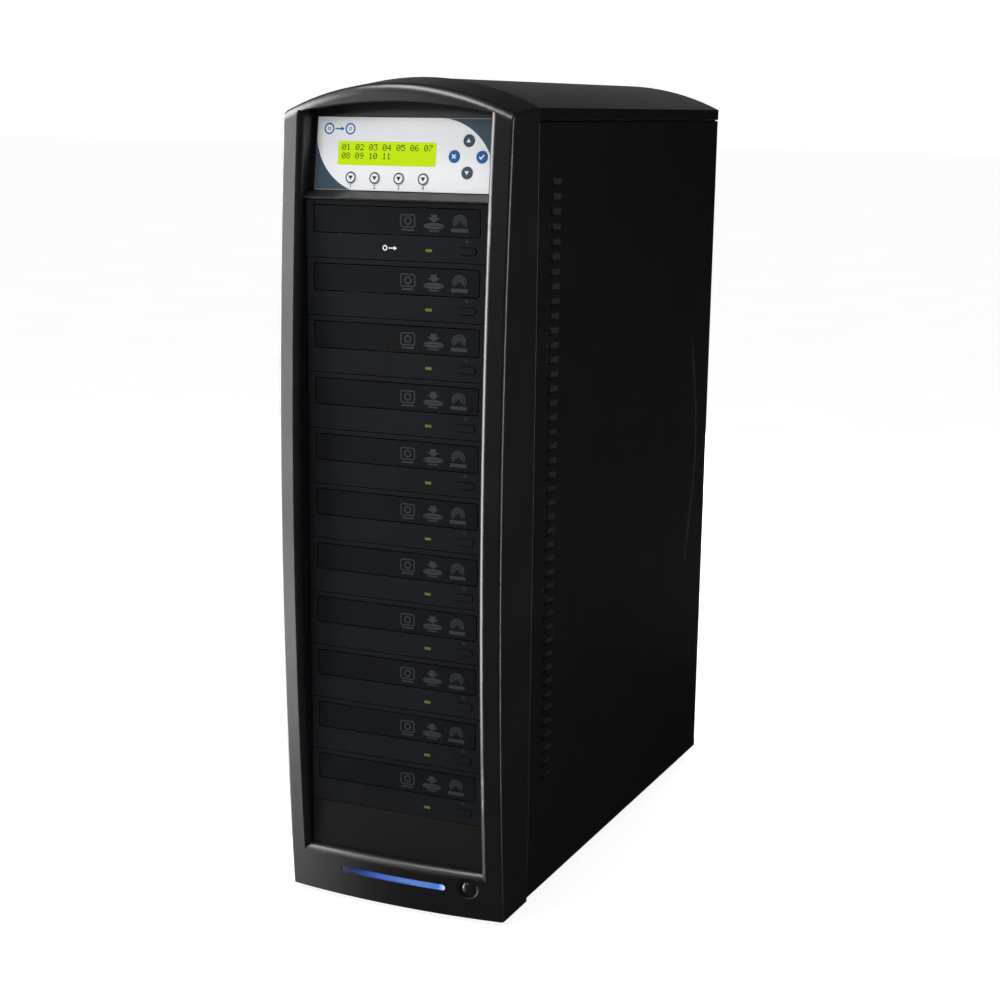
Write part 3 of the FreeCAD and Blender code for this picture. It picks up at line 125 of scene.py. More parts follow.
def skin(tree, shader, tones, cell, height, roughness, edge):
    """Fine noise gives a bump of that height, and slow noise mixes two tones and two roughness values.

    The fine noise's cell, the bump's height and the radius of the shaded edge are in millimetres.
    """
    place = add(tree, "TexCoord").outputs["Object"]
    fine = add(tree, "TexNoise", {"Vector": place, "Scale": per_mm(cell), "Detail": 2.0})
    slow = add(tree, "TexNoise", {"Vector": place, "Scale": per_mm(CLOUD_MM), "Detail": 3.0})
    corner = add(tree, "Bevel", {"Radius": edge * MM}, samples=4)
    bump_inputs = {
        "Height": fine.outputs["Fac"], "Distance": height * MM, "Normal": corner.outputs["Normal"],
    }
    bump = add(tree, "Bump", bump_inputs)
    tone_inputs = {MIX_SHARE: slow.outputs["Fac"], MIX_FROM: linear(tones[0]), MIX_TO: linear(tones[1])}
    tone = add(tree, "Mix", tone_inputs, data_type="RGBA")
    rough_inputs = {"Value": slow.outputs["Fac"], "To Min": roughness[0], "To Max": roughness[1]}
    rough = add(tree, "MapRange", rough_inputs)
    tree.links.new(tone.outputs[MIXED], shader.inputs["Base Color"])
    tree.links.new(rough.outputs["Result"], shader.inputs["Roughness"])
    tree.links.new(bump.outputs["Normal"], shader.inputs["Normal"])


def skinned(name, values, **look):
    """A finish that is one shader with these values under a skin of that look."""
    material, tree, shader = start_finish(name, values)
    skin(tree, shader, **look)
    return material


print(f"skin: tone and gloss drift over about {CLOUD_MM:.0f} mm")

# %% [markdown]
# ## Black plastics
# The front is made of several black mouldings that look different only in tone and gloss. The bezel is
# satin ABS with strong soft highlights. The drive fascias are a bluish black with a finer texture,
# their doors a shade darker, and the blank cover is a brownish black. The textures are drawn a few
# times coarser than real spark erosion, which is about 0.2 mm, because finer ones would not show.

# %% Finishes of the front
finishes = {
    # Satin: a dark body with long soft highlights.
    "bezel_plastic": skinned(
        "moulded ABS, satin black", {"IOR": 1.53}, tones=("#0f1012", "#161719"),
        cell=0.9, height=0.010, roughness=(0.30, 0.38), edge=0.5),
    # High impact polystyrene: brownish and duller than the bezel.
    "cover_plastic": skinned(
        "moulded polystyrene, brown black", {"Specular IOR Level": 0.12}, tones=("#131110", "#181614"),
        cell=0.8, height=0.012, roughness=(0.50, 0.58), edge=0.4),
    # Spark eroded texture: a bluish black that scatters most of its gloss.
    "fascia_plastic": skinned(
        "moulded ABS, textured blue black", {"Specular IOR Level": 0.03}, tones=("#15171a", "#1a1d20"),
        cell=0.7, height=0.012, roughness=(0.48, 0.56), edge=0.4),
    # Trays and their doors: the same texture, a shade darker.
    "tray_plastic": skinned(
        "moulded ABS, textured black", {"Specular IOR Level": 0.03}, tones=("#111315", "#16181a"),
        cell=0.7, height=0.010, roughness=(0.45, 0.53), edge=0.4),
    # Power button, polished a little by fingers.
    "button_plastic": skinned(
        "moulded ABS, glossy black", {"IOR": 1.53}, tones=("#131416", "#1b1c1f"),
        cell=1.2, height=0.004, roughness=(0.20, 0.28), edge=0.3),
}
print("front finishes:", [finish.name for finish in finishes.values()])

# %% [markdown]
# ## Lit parts
# Three things glow: the light bar in the chin, the indicator lights of the drives and the display. The
# bar is a clear acrylic rod that is lit from behind by a few lamps, so it is dark at its left end and
# streaky along its length. That is a ramp along X, with a noise that is stretched along the rod and
# fades towards the dark end. The display is a backlit glass with the faint grid of its unlit dots.

# %% Finishes that glow
DOT_MM, DOT_GAP_SHARE = 0.62, 0.12


def lit_acrylic():
    """Clear acrylic lit by blue lamps: deep blue at the left, paler streaks to the right."""
    low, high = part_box("light_bar")
    values = {"Roughness": 0.15, "Emission Strength": 0.75}
    material, tree, shader = start_finish("clear acrylic, lit blue", values)
    place = add(tree, "TexCoord").outputs["Object"]
    along = add(tree, "SeparateXYZ", {"Vector": place})
    share = add(tree, "MapRange", {"Value": along.outputs["X"], "From Min": low.x, "From Max": high.x})
    ramp = add(tree, "ValToRGB", {"Fac": share.outputs["Result"]})
    stops = ramp.color_ramp.elements
    stops[0].position, stops[0].color = 0.0, linear("#050b1e")
    stops[1].position, stops[1].color = 1.0, linear("#a9c4ff")
    for position, code in ((0.14, "#0d1d4a"), (0.36, "#304c96"), (0.75, "#4a68a3"), (0.94, "#3d62ac")):
        stops.new(position).color = linear(code)
    streaks = add(tree, "Mapping", {"Vector": place, "Scale": (0.06, 1.0, 1.0)})
    noise_inputs = {"Vector": streaks.outputs["Vector"], "Scale": per_mm(1.6), "Detail": 2.0}
    noise = add(tree, "TexNoise", noise_inputs)
    pale = add(tree, "MapRange", {"Value": noise.outputs["Fac"], "From Min": 0.5, "From Max": 0.8})
    fade_inputs = {0: pale.outputs["Result"], 1: share.outputs["Result"]}
    faded = add(tree, "Math", fade_inputs, operation="MULTIPLY")
    blend = {
        MIX_SHARE: faded.outputs["Value"], MIX_FROM: ramp.outputs["Color"], MIX_TO: linear("#7f9cdf"),
    }
    glow = add(tree, "Mix", blend, data_type="RGBA")
    tree.links.new(ramp.outputs["Color"], shader.inputs["Base Color"])
    tree.links.new(glow.outputs[MIXED], shader.inputs["Emission Color"])
    return material


def lit_epoxy():
    """Diffused epoxy of an indicator light: yellow green, brighter in cloudy spots."""
    values = {"Roughness": 0.35, "Emission Strength": 0.1}
    material, tree, shader = start_finish("diffused epoxy, lit green", values)
    place = add(tree, "TexCoord").outputs["Object"]
    cloud = add(tree, "TexNoise", {"Vector": place, "Scale": per_mm(1.5)})
    blend = {MIX_SHARE: cloud.outputs["Fac"], MIX_FROM: linear("#364b06"), MIX_TO: linear("#64831a")}
    glow = add(tree, "Mix", blend, data_type="RGBA")
    tree.links.new(glow.outputs[MIXED], shader.inputs["Base Color"])
    tree.links.new(glow.outputs[MIXED], shader.inputs["Emission Color"])
    return material


def lit_glass():
    """Backlit display glass: yellow green, with the faint grid of its unlit dots."""
    values = {"Roughness": 0.25, "Emission Strength": 0.88, "Specular IOR Level": 0.05}
    material, tree, shader = start_finish("display glass, backlit", values)
    place = add(tree, "TexCoord").outputs["Object"]
    turned = add(tree, "Mapping", {"Vector": place, "Rotation": (math.radians(90), 0, 0)})
    dot = DOT_MM * MM
    grid_inputs = {
        "Vector": turned.outputs["Vector"], "Scale": 1.0,
        "Color1": linear("#c8f000"), "Color2": linear("#c2ea00"), "Mortar": linear("#cdf61a"),
        "Mortar Size": dot * DOT_GAP_SHARE, "Brick Width": dot, "Row Height": dot,
    }
    grid = add(tree, "TexBrick", grid_inputs, offset=0.0)
    tree.links.new(grid.outputs["Color"], shader.inputs["Emission Color"])
    shader.inputs["Base Color"].default_value = linear("#1c2200")
    return material


lit_finishes = {"light_pipe": lit_acrylic(), "led_plastic": lit_epoxy(), "display_glass": lit_glass()}
finishes |= lit_finishes
print("glowing finishes:", [finish.name for finish in lit_finishes.values()])

# %% [markdown]
# ## Control panel
# The panel is a polyester film printed in pale silver grey, and its keys are silicone caps that come
# through it. Film has a very fine matt texture, so it shines broadly. The keys are smoother and each
# has its own moulded colour.

# %% Finishes of the control panel
def silicone(name, tones):
    """Moulded silicone key cap: even colour, soft gloss, rounded rim."""
    return skinned(
        "moulded silicone, " + name, {"Specular IOR Level": 0.15}, tones=tones,
        cell=0.5, height=0.003, roughness=(0.38, 0.46), edge=0.25)


panel_finishes = {
    # Screen printed: pale silver grey with a fine matt texture.
    "panel_print": skinned(
        "printed polyester film", {"Specular IOR Level": 0.1}, tones=("#e9eaed", "#f0f1f3"),
        cell=0.6, height=0.004, roughness=(0.42, 0.50), edge=0.2),
    "white_key": silicone("white", ("#e8eaed", "#f2f3f5")),
    "slate_key": silicone("slate", ("#36444f", "#40505c")),
    "blue_key": silicone("blue", ("#0a5798", "#0f60a4")),
}
finishes |= panel_finishes
print("panel finishes:", [finish.name for finish in panel_finishes.values()])

# %% [markdown]
# ## Steel and paint
# The case is sheet steel with a black powder coat, which melts in an oven and sets with a fine even
# orange peel. Inside it, the frame and the cage are bare galvanised steel, whose zinc freezes in flakes,
# and the drives' shells are rolled steel with fine lines along the rolling direction. A Voronoi pattern
# gives the flakes and a stretched noise gives the lines.

# %% Finishes of the case
def galvanised_steel():
    """Hot dip galvanised sheet: grey flakes of zinc, each with its own tone."""
    material, tree, shader = start_finish("galvanised steel", {"Metallic": 1.0})
    place = add(tree, "TexCoord").outputs["Object"]
    flakes = add(tree, "TexVoronoi", {"Vector": place, "Scale": per_mm(6.0)})
    tone = add(tree, "MapRange", {"Value": flakes.outputs["Color"], "To Min": 0.45, "To Max": 0.62})
    rough = add(tree, "MapRange", {"Value": flakes.outputs["Color"], "To Min": 0.34, "To Max": 0.5})
    tree.links.new(tone.outputs["Result"], shader.inputs["Base Color"])
    tree.links.new(rough.outputs["Result"], shader.inputs["Roughness"])
    return material


def rolled_steel():
    """Cold rolled and tinned sheet: fine lines along the depth, where the rolls ran."""
    material, tree, shader = start_finish("cold rolled steel, tinned", {"Metallic": 1.0})
    place = add(tree, "TexCoord").outputs["Object"]
    stretched = add(tree, "Mapping", {"Vector": place, "Scale": (1.0, 0.03, 1.0)})
    noise_inputs = {"Vector": stretched.outputs["Vector"], "Scale": per_mm(0.8), "Detail": 3.0}
    rolled = add(tree, "TexNoise", noise_inputs)
    blend = {MIX_SHARE: rolled.outputs["Fac"], MIX_FROM: linear("#a5a8aa"), MIX_TO: linear("#c3c6c8")}
    tone = add(tree, "Mix", blend, data_type="RGBA")
    rough = add(tree, "MapRange", {"Value": rolled.outputs["Fac"], "To Min": 0.28, "To Max": 0.42})
    tree.links.new(tone.outputs[MIXED], shader.inputs["Base Color"])
    tree.links.new(rough.outputs["Result"], shader.inputs["Roughness"])
    return material


case_finishes = {
    # Deep black on steel, with a fine orange peel.
    "case_paint": skinned(
        "powder coat, satin black", {"Specular IOR Level": 0.4}, tones=("#0c0c0d", "#111112"),
        cell=1.1, height=0.012, roughness=(0.32, 0.38), edge=0.6),
    "bare_steel": galvanised_steel(),
    "drive_metal": rolled_steel(),
    # Thumb screws: warm bright metal with a light haze.
    "screw_metal": skinned(
        "nickel plated steel", {"Metallic": 1.0}, tones=("#b4aea4", "#c6c1b8"),
        cell=0.6, height=0.003, roughness=(0.22, 0.32), edge=0.2),
}
finishes |= case_finishes
print("case finishes:", [finish.name for finish in case_finishes.values()])

# %% [markdown]
# ## The rest
# The fans, the mains inlet, the rubber feet and the circuit boards show only at the back or underneath,
# but each is still a material of its own. A board is green solder mask with copper tracks under it,
# which a brick pattern can stand for: its joints make straight lines in two directions.

# %% Finishes of the small parts
def solder_mask():
    """Glass epoxy board: green lacquer that is paler over its copper tracks."""
    material, tree, shader = start_finish("glass epoxy board", {"Roughness": 0.35})
    place = add(tree, "TexCoord").outputs["Object"]
    track_inputs = {
        "Vector": place, "Scale": 1.0,
        "Color1": linear("#0d4a2c"), "Color2": linear("#0f5231"), "Mortar": linear("#1f7448"),
        "Mortar Size": 0.4 * MM, "Brick Width": 9.0 * MM, "Row Height": 2.5 * MM,
    }
    tracks = add(tree, "TexBrick", track_inputs)
    tree.links.new(tracks.outputs["Color"], shader.inputs["Base Color"])
    return material


finishes |= {
    # Dull, with the grain of its fibres.
    "fan_plastic": skinned(
        "glass filled PBT, black", {"Specular IOR Level": 0.4}, tones=("#151517", "#1f1f22"),
        cell=0.8, height=0.010, roughness=(0.46, 0.56), edge=0.3),
    # Mains inlet and rocker switch: smooth.
    "inlet_plastic": skinned(
        "moulded nylon, black", {"Specular IOR Level": 0.4}, tones=("#101011", "#181819"),
        cell=1.0, height=0.004, roughness=(0.34, 0.42), edge=0.3),
    # Charcoal, almost without gloss.
    "foot_rubber": skinned(
        "moulded rubber", {"Specular IOR Level": 0.25}, tones=("#1b1b1c", "#262627"),
        cell=0.9, height=0.02, roughness=(0.75, 0.85), edge=0.4),
    "circuit_board": solder_mask(),
}
for node in nodes.values():
    for holder in node.material_slots:
        holder.material = finishes[holder.material.name.split(".")[0]]
print(f"{len(finishes)} finishes on {len(nodes)} nodes")

# %% [markdown]
# ## Ink
# Signs on the plastic are films of ink a few hundredths of a millimetre thick. They could be painted by
# the shader, but real film has edges, keeps sharp at any distance and rides on its own door or key when
# that moves. Each sign is drawn in a flat frame, in millimetres to the right and up, then laid on its
# face and given its thickness. A stroke along a path and an arc are enough to draw nearly all of them.

# %% Flat marks
INK_MM = 0.05
# Corners of a square round the origin, counterclockwise.
SQUARE = np.array([(-1, -1), (1, -1), (1, 1), (-1, 1)])


def arc(x, z, radius_x, radius_z, start=0.0, stop=360.0, steps=40):
    """Points of an ellipse between two angles in degrees.

    A point is the centre plus the two radii times the cosine and sine of its angle.
    """
    angle = np.radians(np.linspace(start, stop, steps + 1))
    return np.stack([x + radius_x * np.cos(angle), z + radius_z * np.sin(angle)], axis=1)


def stroke(path, width):
    """Ribbon of that width along a path, which is closed if it ends where it starts.

    Each point is moved both ways along the mean of its two side normals a and b, lengthened at a corner so
    that the ribbon keeps its width: (a + b) / (1 + a . b) times half the width.
    """
    path = np.asarray(path, float)
    step = np.diff(path, axis=0)
    step /= np.linalg.norm(step, axis=1, keepdims=True)
    side = np.stack([-step[:, 1], step[:, 0]], axis=1)
    closed = np.allclose(path[0], path[-1])
    before = np.vstack([side[-1:] if closed else side[:1], side])
    after = np.vstack([side, side[:1] if closed else side[-1:]])
    mitre = (before + after) / (1 + np.sum(before * after, axis=1, keepdims=True))
    points = np.vstack([path + mitre * width / 2, path - mitre * width / 2])
    count = len(path)
    i = np.arange(count - 1)
    return points, np.stack([count + i, count + i + 1, i + 1, i], axis=1)


def patch(outline):
    """One flat face inside an outline that runs counterclockwise."""
    outline = np.asarray(outline, float)
    return outline, np.arange(len(outline))[None, :]


def fan(corner, path):
    """Triangles from one corner to each step of a path that runs counterclockwise round it."""
    points = np.vstack([[corner], path])
    i = np.arange(1, len(path))
    return points, np.stack([np.zeros_like(i), i, i + 1], axis=1)


def squares(grid, left, top, pitch, fill):
    """A small square for each true cell of a grid.

    Its corners are the cell's middle plus and minus half the pitch times the fill.
    """
    row, column = np.nonzero(grid)
    middle = np.stack([left + (column + 0.5) * pitch, top - (row + 0.5) * pitch], axis=1)
    corners = SQUARE * pitch * fill / 2
    return (middle[:, None] + corners).reshape(-1, 2), np.arange(4 * len(row)).reshape(-1, 4)


def numerals(text, x, z, height):
    """Plain numerals from Blender's own font as a mesh of that height, centred on x above z."""
    curve = bpy.data.curves.new("numerals", "FONT")
    curve.body = text
    holder = bpy.data.objects.new("numerals", curve)
    mesh = bpy.data.meshes.new_from_object(holder)
    points = np.empty(3 * len(mesh.vertices))
    mesh.vertices.foreach_get("co", points)
    points = points.reshape(-1, 3)[:, :2]
    faces = np.empty(len(mesh.loops), int)
    mesh.loops.foreach_get("vertex_index", faces)
    points = (points - points.min(axis=0)) * height / np.ptp(points[:, 1])
    bpy.data.objects.remove(holder)
    return points + (x - np.ptp(points[:, 0]) / 2, z), faces.reshape(-1, 3)


print("a ring has", len(stroke(arc(0, 0, 1, 1), 0.1)[1]), "faces")

# %% [markdown]
# ## Laying ink on a face
# Ink for plastic is a matt lacquer. One function makes it in any tone, with the slight mottle of a
# printed film, and another lays a set of marks on a face. The face is upright or leans back like the
# control panel, so it only needs an origin and a lean. Solidify then gives the film its thickness,
# outwards from the face.

# %% Ink and how it is laid
def ink(name, tones):
    """Screen printing lacquer: matt, slightly mottled."""
    return skinned(
        "screen ink, " + name, {"Specular IOR Level": 0.12}, tones=tones,
        cell=0.4, height=0.002, roughness=(0.50, 0.58), edge=0.02)


def lay(name, marks, origin, lean, finish, body):
    """Lays marks as one film of ink on a face.

    A point is the origin plus x times right plus z times the direction that leans back from upright.
    """
    up = np.array([0.0, math.sin(lean), math.cos(lean)])
    points, faces = np.empty((0, 2)), []
    for mark_points, mark_faces in marks:
        faces += (mark_faces + len(points)).tolist()
        points = np.vstack([points, mark_points])
    place = np.array(origin) + MM * (points[:, :1] * (1.0, 0.0, 0.0) + points[:, 1:] * up)
    mesh = bpy.data.meshes.new(name)
    mesh.from_pydata(place.tolist(), [], faces)
    mesh.materials.append(finish)
    piece = bpy.data.objects.new(name, mesh)
    bpy.context.collection.objects.link(piece)
    film = piece.modifiers.new("film", "SOLIDIFY")
    film.thickness = INK_MM * MM
    film.offset = 1.0
    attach(piece, body)


grey_ink = ink("grey", ("#2a2d2f", "#323538"))
white_ink = ink("white", ("#e4e7ea", "#f0f2f4"))
dark_ink = ink("slate", ("#1f2a33", "#27333d"))
slate_ink = ink("slate blue", ("#3a4c58", "#425460"))
blue_ink = ink("blue", ("#0f62ac", "#176db8"))
# Near-black film laid where the pinholes are: painted shade for the dark inside each hole, not a print.
pinhole_shade_ink = ink("black", ("#050506", "#08080a"))
dot_ink = ink("display olive", ("#0e1400", "#182000"))
print("inks:", [i.name for i in (grey_ink, white_ink, dark_ink, slate_ink, blue_ink, pinhole_shade_ink, dot_ink)])

# %% [markdown]
# ## Signs on the drives
# Each door has three grey signs near its right end: a framed disc, a disc seen from the side under an
# arrow, and a disc in rings over a bar. They are generic, and they sit on the door, so each set rides
# on its own tray. The fascia has a pinhole for pushing a stuck tray out, shown as a near-black disc of
# painted shade for the dark inside the hole, and a small eject sign over the button. The drive that is
# copied from has a white disc with an arrow.

# %% Door signs, one set per tray
DRIVES = [f"{i:02d}" for i in range(1, 12)]
SIGN_X, SIGN_Z = (10.0, 31.0, 51.5), -9.2


def bar(x, z, half_width, half_height):
    """Rectangle round a middle point."""
    return patch((x, z) + SQUARE * (half_width, half_height))


def framed_disc(x, z):
    """Frame with rounded corners round a disc's rim, over a short bar."""
    half_x, half_z, corner = 5.6, 4.3, 1.4
    runs = []
    for a, b, start in ((1, 1, 0), (-1, 1, 90), (-1, -1, 180), (1, -1, 270)):
        middle_x, middle_z = x + a * (half_x - corner), z + b * (half_z - corner)
        runs.append(arc(middle_x, middle_z, corner, corner, start, start + 90, 5))
    frame_path = np.vstack(runs + [runs[0][:1]])
    return [stroke(frame_path, 0.9), stroke(arc(x, z, 2.4, 2.4), 1.1), bar(x, z - 6.4, 5.0, 0.6)]


def disc_under_arrow(x, z):
    """Flat ellipse with a hole, under a broad arrow that points down."""
    arrow = [(x - 2.4, z + 5.0), (x - 2.4, z + 2.6), (x - 5.2, z + 2.6), (x, z - 0.6), (x + 5.2, z + 2.6),
             (x + 2.4, z + 2.6), (x + 2.4, z + 5.0)]
    head = fan((x, z + 2.6), np.array(arrow + arrow[:1]))
    return [head, stroke(arc(x, z - 3.1, 7.2, 1.25), 1.9), bar(x, z - 6.5, 4.2, 0.5)]


def disc_in_rings(x, z):
    """Three arcs round one middle, open at the foot, over a long bar."""
    rings = [stroke(arc(x, z + 0.4, 1.1 * r, r, -40, 220), 1.0) for r in (1.4, 3.0, 4.6)]
    return rings + [bar(x, z - 5.6, 6.6, 1.3)]


door_signs = []
for draw, x in zip((framed_disc, disc_under_arrow, disc_in_rings), SIGN_X):
    door_signs += draw(x, SIGN_Z)
for number in DRIVES:
    low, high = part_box("drive_tray_" + number)
    lay("door_signs_" + number, door_signs, (0, low.y, high.z), 0, grey_ink,
        "drive_tray_" + number)
print(f"{len(DRIVES)} sets of door signs")

# %% Marks on the fascias
PINHOLE, PINHOLE_RADIUS = (51.5, -22.3), 0.7
EJECT_SIGN, EJECT_HALF, EJECT_HEIGHT = (57.3, -22.3), 1.3, 1.4
SOURCE_SIGN, SOURCE_LINE = (-4.5, -29.1), 0.8
low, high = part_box("drive_fascias")
tops = [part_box("drive_tray_" + number)[1].z / MM for number in DRIVES]
pinhole_shades, eject_signs = [], []
for top in tops:
    hole = arc(PINHOLE[0], top + PINHOLE[1], PINHOLE_RADIUS, PINHOLE_RADIUS, steps=16)
    pinhole_shades.append(patch(hole[:-1]))
    x, z = EJECT_SIGN[0], top + EJECT_SIGN[1]
    eject_signs.append(patch([(x - EJECT_HALF, z), (x + EJECT_HALF, z), (x, z + EJECT_HEIGHT)]))
    eject_signs.append(bar(x, z - 0.65, EJECT_HALF, 0.25))
x, z = SOURCE_SIGN[0], tops[0] + SOURCE_SIGN[1]
source = [stroke(arc(x - 4.0, z, 1.6, 1.6), SOURCE_LINE)]
source.append(stroke([(x - 1.0, z), (x + 3.4, z)], SOURCE_LINE))
source.append(patch([(x + 3.2, z - 1.5), (x + 5.8, z), (x + 3.2, z + 1.5)]))
face = (0, low.y, 0)
# The pinholes' discs are painted shade: a near-black film over each hole, where its inside is dark.
lay("pinhole_shades", pinhole_shades, face, 0, pinhole_shade_ink, "chassis")
lay("eject_signs", eject_signs, face, 0, grey_ink, "chassis")
lay("source_sign", source, face, 0, white_ink, "chassis")
print(f"pinholes and eject signs on {len(tops)} fascias, {tops[0] - tops[1]:.1f} mm apart")

# %% [markdown]
# ## Prints on the control panel
# The pale film has two slate corners, each bounded by an arc, small numbers under the menu keys and a
# blue sign of a disc that is copied. The panel leans back, so its marks are laid with the same lean. An
# arc through three points of the border has its centre where the perpendicular bisectors meet, which is
# a system of two linear equations.

# %% Prints on the film
LEAN = math.radians(8)
PLATE_MM = 1.8
PLATE_HALF, PLATE_FOOT, PLATE_HEIGHT = 71.6, 0.2, 52.3
MENU_X = [-41.8 + 19.7 * i for i in range(4)]
NUMBER_FOOT, NUMBER_HEIGHT = 1.2, 3.0
COPY_X, COPY_Z = (-62.0, -44.5), 44.0
low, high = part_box("panel_plate")
panel_foot = np.array([0.0, low.y, low.z + PLATE_MM * MM * math.sin(LEAN)])
panel_out = np.array([0.0, -math.cos(LEAN), math.sin(LEAN)])


def arc_through(a, b, c):
    """Points of the arc from a over b to c.

    Its centre m solves 2 (b - a) . m = b . b - a . a and 2 (c - a) . m = c . c - a . a.
    """
    a, b, c = (np.array(p, float) for p in (a, b, c))
    middle = np.linalg.solve(2 * np.array([b - a, c - a]), [b @ b - a @ a, c @ c - a @ a])
    start, stop = (math.degrees(math.atan2(*(p - middle)[::-1])) for p in (a, c))
    stop += 360 if stop < start else 0
    radius = math.dist(a, middle)
    return arc(*middle, radius, radius, start, stop)


upper = arc_through((PLATE_HALF, 20.6), (60.4, 38.9), (31.2, PLATE_HEIGHT))
lower = arc_through((-PLATE_HALF, 35.5), (-60.7, 12.8), (-41.6, PLATE_FOOT))
corners = [fan((PLATE_HALF, PLATE_HEIGHT), upper[::-1]), fan((-PLATE_HALF, PLATE_FOOT), lower[::-1])]
lay("panel_corners", corners, panel_foot, LEAN, slate_ink, "chassis")
menu_numbers = [numerals(str(i + 1), x, NUMBER_FOOT, NUMBER_HEIGHT) for i, x in enumerate(MENU_X)]
lay("menu_numbers", menu_numbers, panel_foot, LEAN, dark_ink, "chassis")
copy_sign = [stroke(arc(x, COPY_Z, 3.6, 3.6), 1.1) for x in COPY_X]
copy_sign += [stroke(arc(x, COPY_Z, 1.0, 1.0), 0.5) for x in COPY_X]
copy_sign.append(stroke([(-57.0, COPY_Z), (-51.5, COPY_Z)], 1.0))
copy_sign.append(patch([(-52.0, COPY_Z - 1.8), (-49.4, COPY_Z), (-52.0, COPY_Z + 1.8)]))
lay("copy_sign", copy_sign, panel_foot, LEAN, blue_ink, "chassis")
print("panel prints:", len(corners), "corners,", len(menu_numbers), "numbers and a copy sign")

# %% [markdown]
# ## Signs on the keys
# Up, down and menu keys carry a triangle, and the keys to the left and right of them a cross and a
# tick. A menu key also has a dark ring. Each sign lies on the face of its key, a little in front of the
# film, and rides on the key.

# %% Key signs
KEY_PROUD = 0.7
CROSS_X, CROSS_Z, REACH_X, REACH_Z, MENU_Z = 51.7, 25.6, 10.9, 11.3, 9.0
key_face = panel_foot + panel_out * KEY_PROUD * MM


def triangle(x, z, size):
    """Triangle with its point up for a positive size and down for a negative one."""
    corners = [(x - abs(size), z - 0.7 * size), (x + abs(size), z - 0.7 * size), (x, z + 0.9 * size)]
    return patch(corners if size > 0 else corners[::-1])


cross_x, tick_x = CROSS_X - REACH_X, CROSS_X + REACH_X
cross = [stroke([(cross_x - 1.4, CROSS_Z - s), (cross_x + 1.4, CROSS_Z + s)], 0.8) for s in (-1.4, 1.4)]
tick_path = [(tick_x - 1.8, CROSS_Z + 0.1), (tick_x - 0.5, CROSS_Z - 1.4), (tick_x + 2.0, CROSS_Z + 1.6)]
tick = [stroke(tick_path, 0.9)]
key_signs = {
    "key_up": ([triangle(CROSS_X, CROSS_Z + REACH_Z, 1.7)], white_ink, "slate_key"),
    "key_down": ([triangle(CROSS_X, CROSS_Z - REACH_Z, -1.7)], white_ink, "slate_key"),
    "key_left": (cross, white_ink, "blue_key"),
    "key_right": (tick, white_ink, "blue_key"),
}
for i, x in enumerate(MENU_X):
    ring = stroke(arc(x, MENU_Z, 3.65, 3.65), 0.9)
    key_signs[f"key_menu_{i + 1}"] = ([ring, triangle(x, MENU_Z, -1.9)], dark_ink, "white_key")
for key, (marks, finish, slot) in key_signs.items():
    lay("sign_" + key, marks, key_face, LEAN, finish, key)
print("key signs:", ", ".join(key_signs))

# %% [markdown]
# ## Characters on the display
# A display of this kind draws each character with five by seven dots. Here it lists the numbers of the
# drives. Each digit is seven rows of five bits, so a line of text is an array of bits, and every true
# bit becomes one small square.

# %% Display dots
DIGITS = {
    "0": "0E 11 13 15 19 11 0E", "1": "04 0C 04 04 04 04 0E", "2": "0E 11 01 02 04 08 1F",
    "3": "1F 02 04 02 01 11 0E", "4": "02 06 0A 12 1F 02 02", "5": "1F 10 1E 01 01 11 0E",
    "6": "06 08 10 1E 11 11 0E", "7": "1F 01 02 04 08 08 08", "8": "0E 11 11 0E 11 11 0E",
    "9": "0E 11 11 0F 01 02 0C", " ": "00 00 00 00 00 00 00",
}
DISPLAY_LEFT, DISPLAY_TOP, DISPLAY_RECESS = -50.6, 33.2, 0.3
DOT_FILL, LINE_GAP_DOTS = 0.98, 3


def line_of_dots(text):
    """Bits of a line: for each digit a block of seven rows and six columns, the last one blank."""
    blocks = []
    for digit in text:
        rows = [int(row, 16) for row in DIGITS[digit].split()]
        blocks.append([[row >> (4 - bit) & 1 for bit in range(5)] + [0] for row in rows])
    return np.hstack(blocks)


upper_line, lower_line = line_of_dots("01 02 03 04 05 06 07"), line_of_dots("08 09 10 11".ljust(20))
line_gap = np.zeros((LINE_GAP_DOTS, upper_line.shape[1]), int)
shown = np.vstack([upper_line, line_gap, lower_line])
dots = [squares(shown, DISPLAY_LEFT, DISPLAY_TOP, DOT_MM, DOT_FILL)]
display_face = panel_foot - panel_out * DISPLAY_RECESS * MM
lay("display_dots", dots, display_face, LEAN, dot_ink, "chassis")
print("display shows", shown.sum(), "dots")

# %% [markdown]
# ## Thumb screws
# The screws that hold the side panels are turned by hand, so their heads are knurled. A head is a
# profile that is turned round the screw's axis, with its radius rippled by the angle. The ripple fades
# to nothing at the chamfers.

# %% Knurled heads at the rear
# Station along the axis, radius, and share of the ripple, from the panel to the end of the head.
PROFILE = np.array([
    (0.0, 0.0, 0.0), (0.0, 4.9, 0.0), (0.4, 5.3, 0.4), (0.9, 5.5, 1.0), (4.4, 5.5, 1.0), (4.9, 5.3, 0.4),
    (5.2, 4.8, 0.0), (5.2, 3.9, 0.0), (5.6, 3.7, 0.0), (6.0, 3.3, 0.0), (6.0, 0.0, 0.0),
])
HEAD_HEIGHT, HEAD_RADIUS = PROFILE.max(axis=0)[:2]
KNURLS, POINTS_PER_KNURL, RIPPLE = 30, 4, 0.28


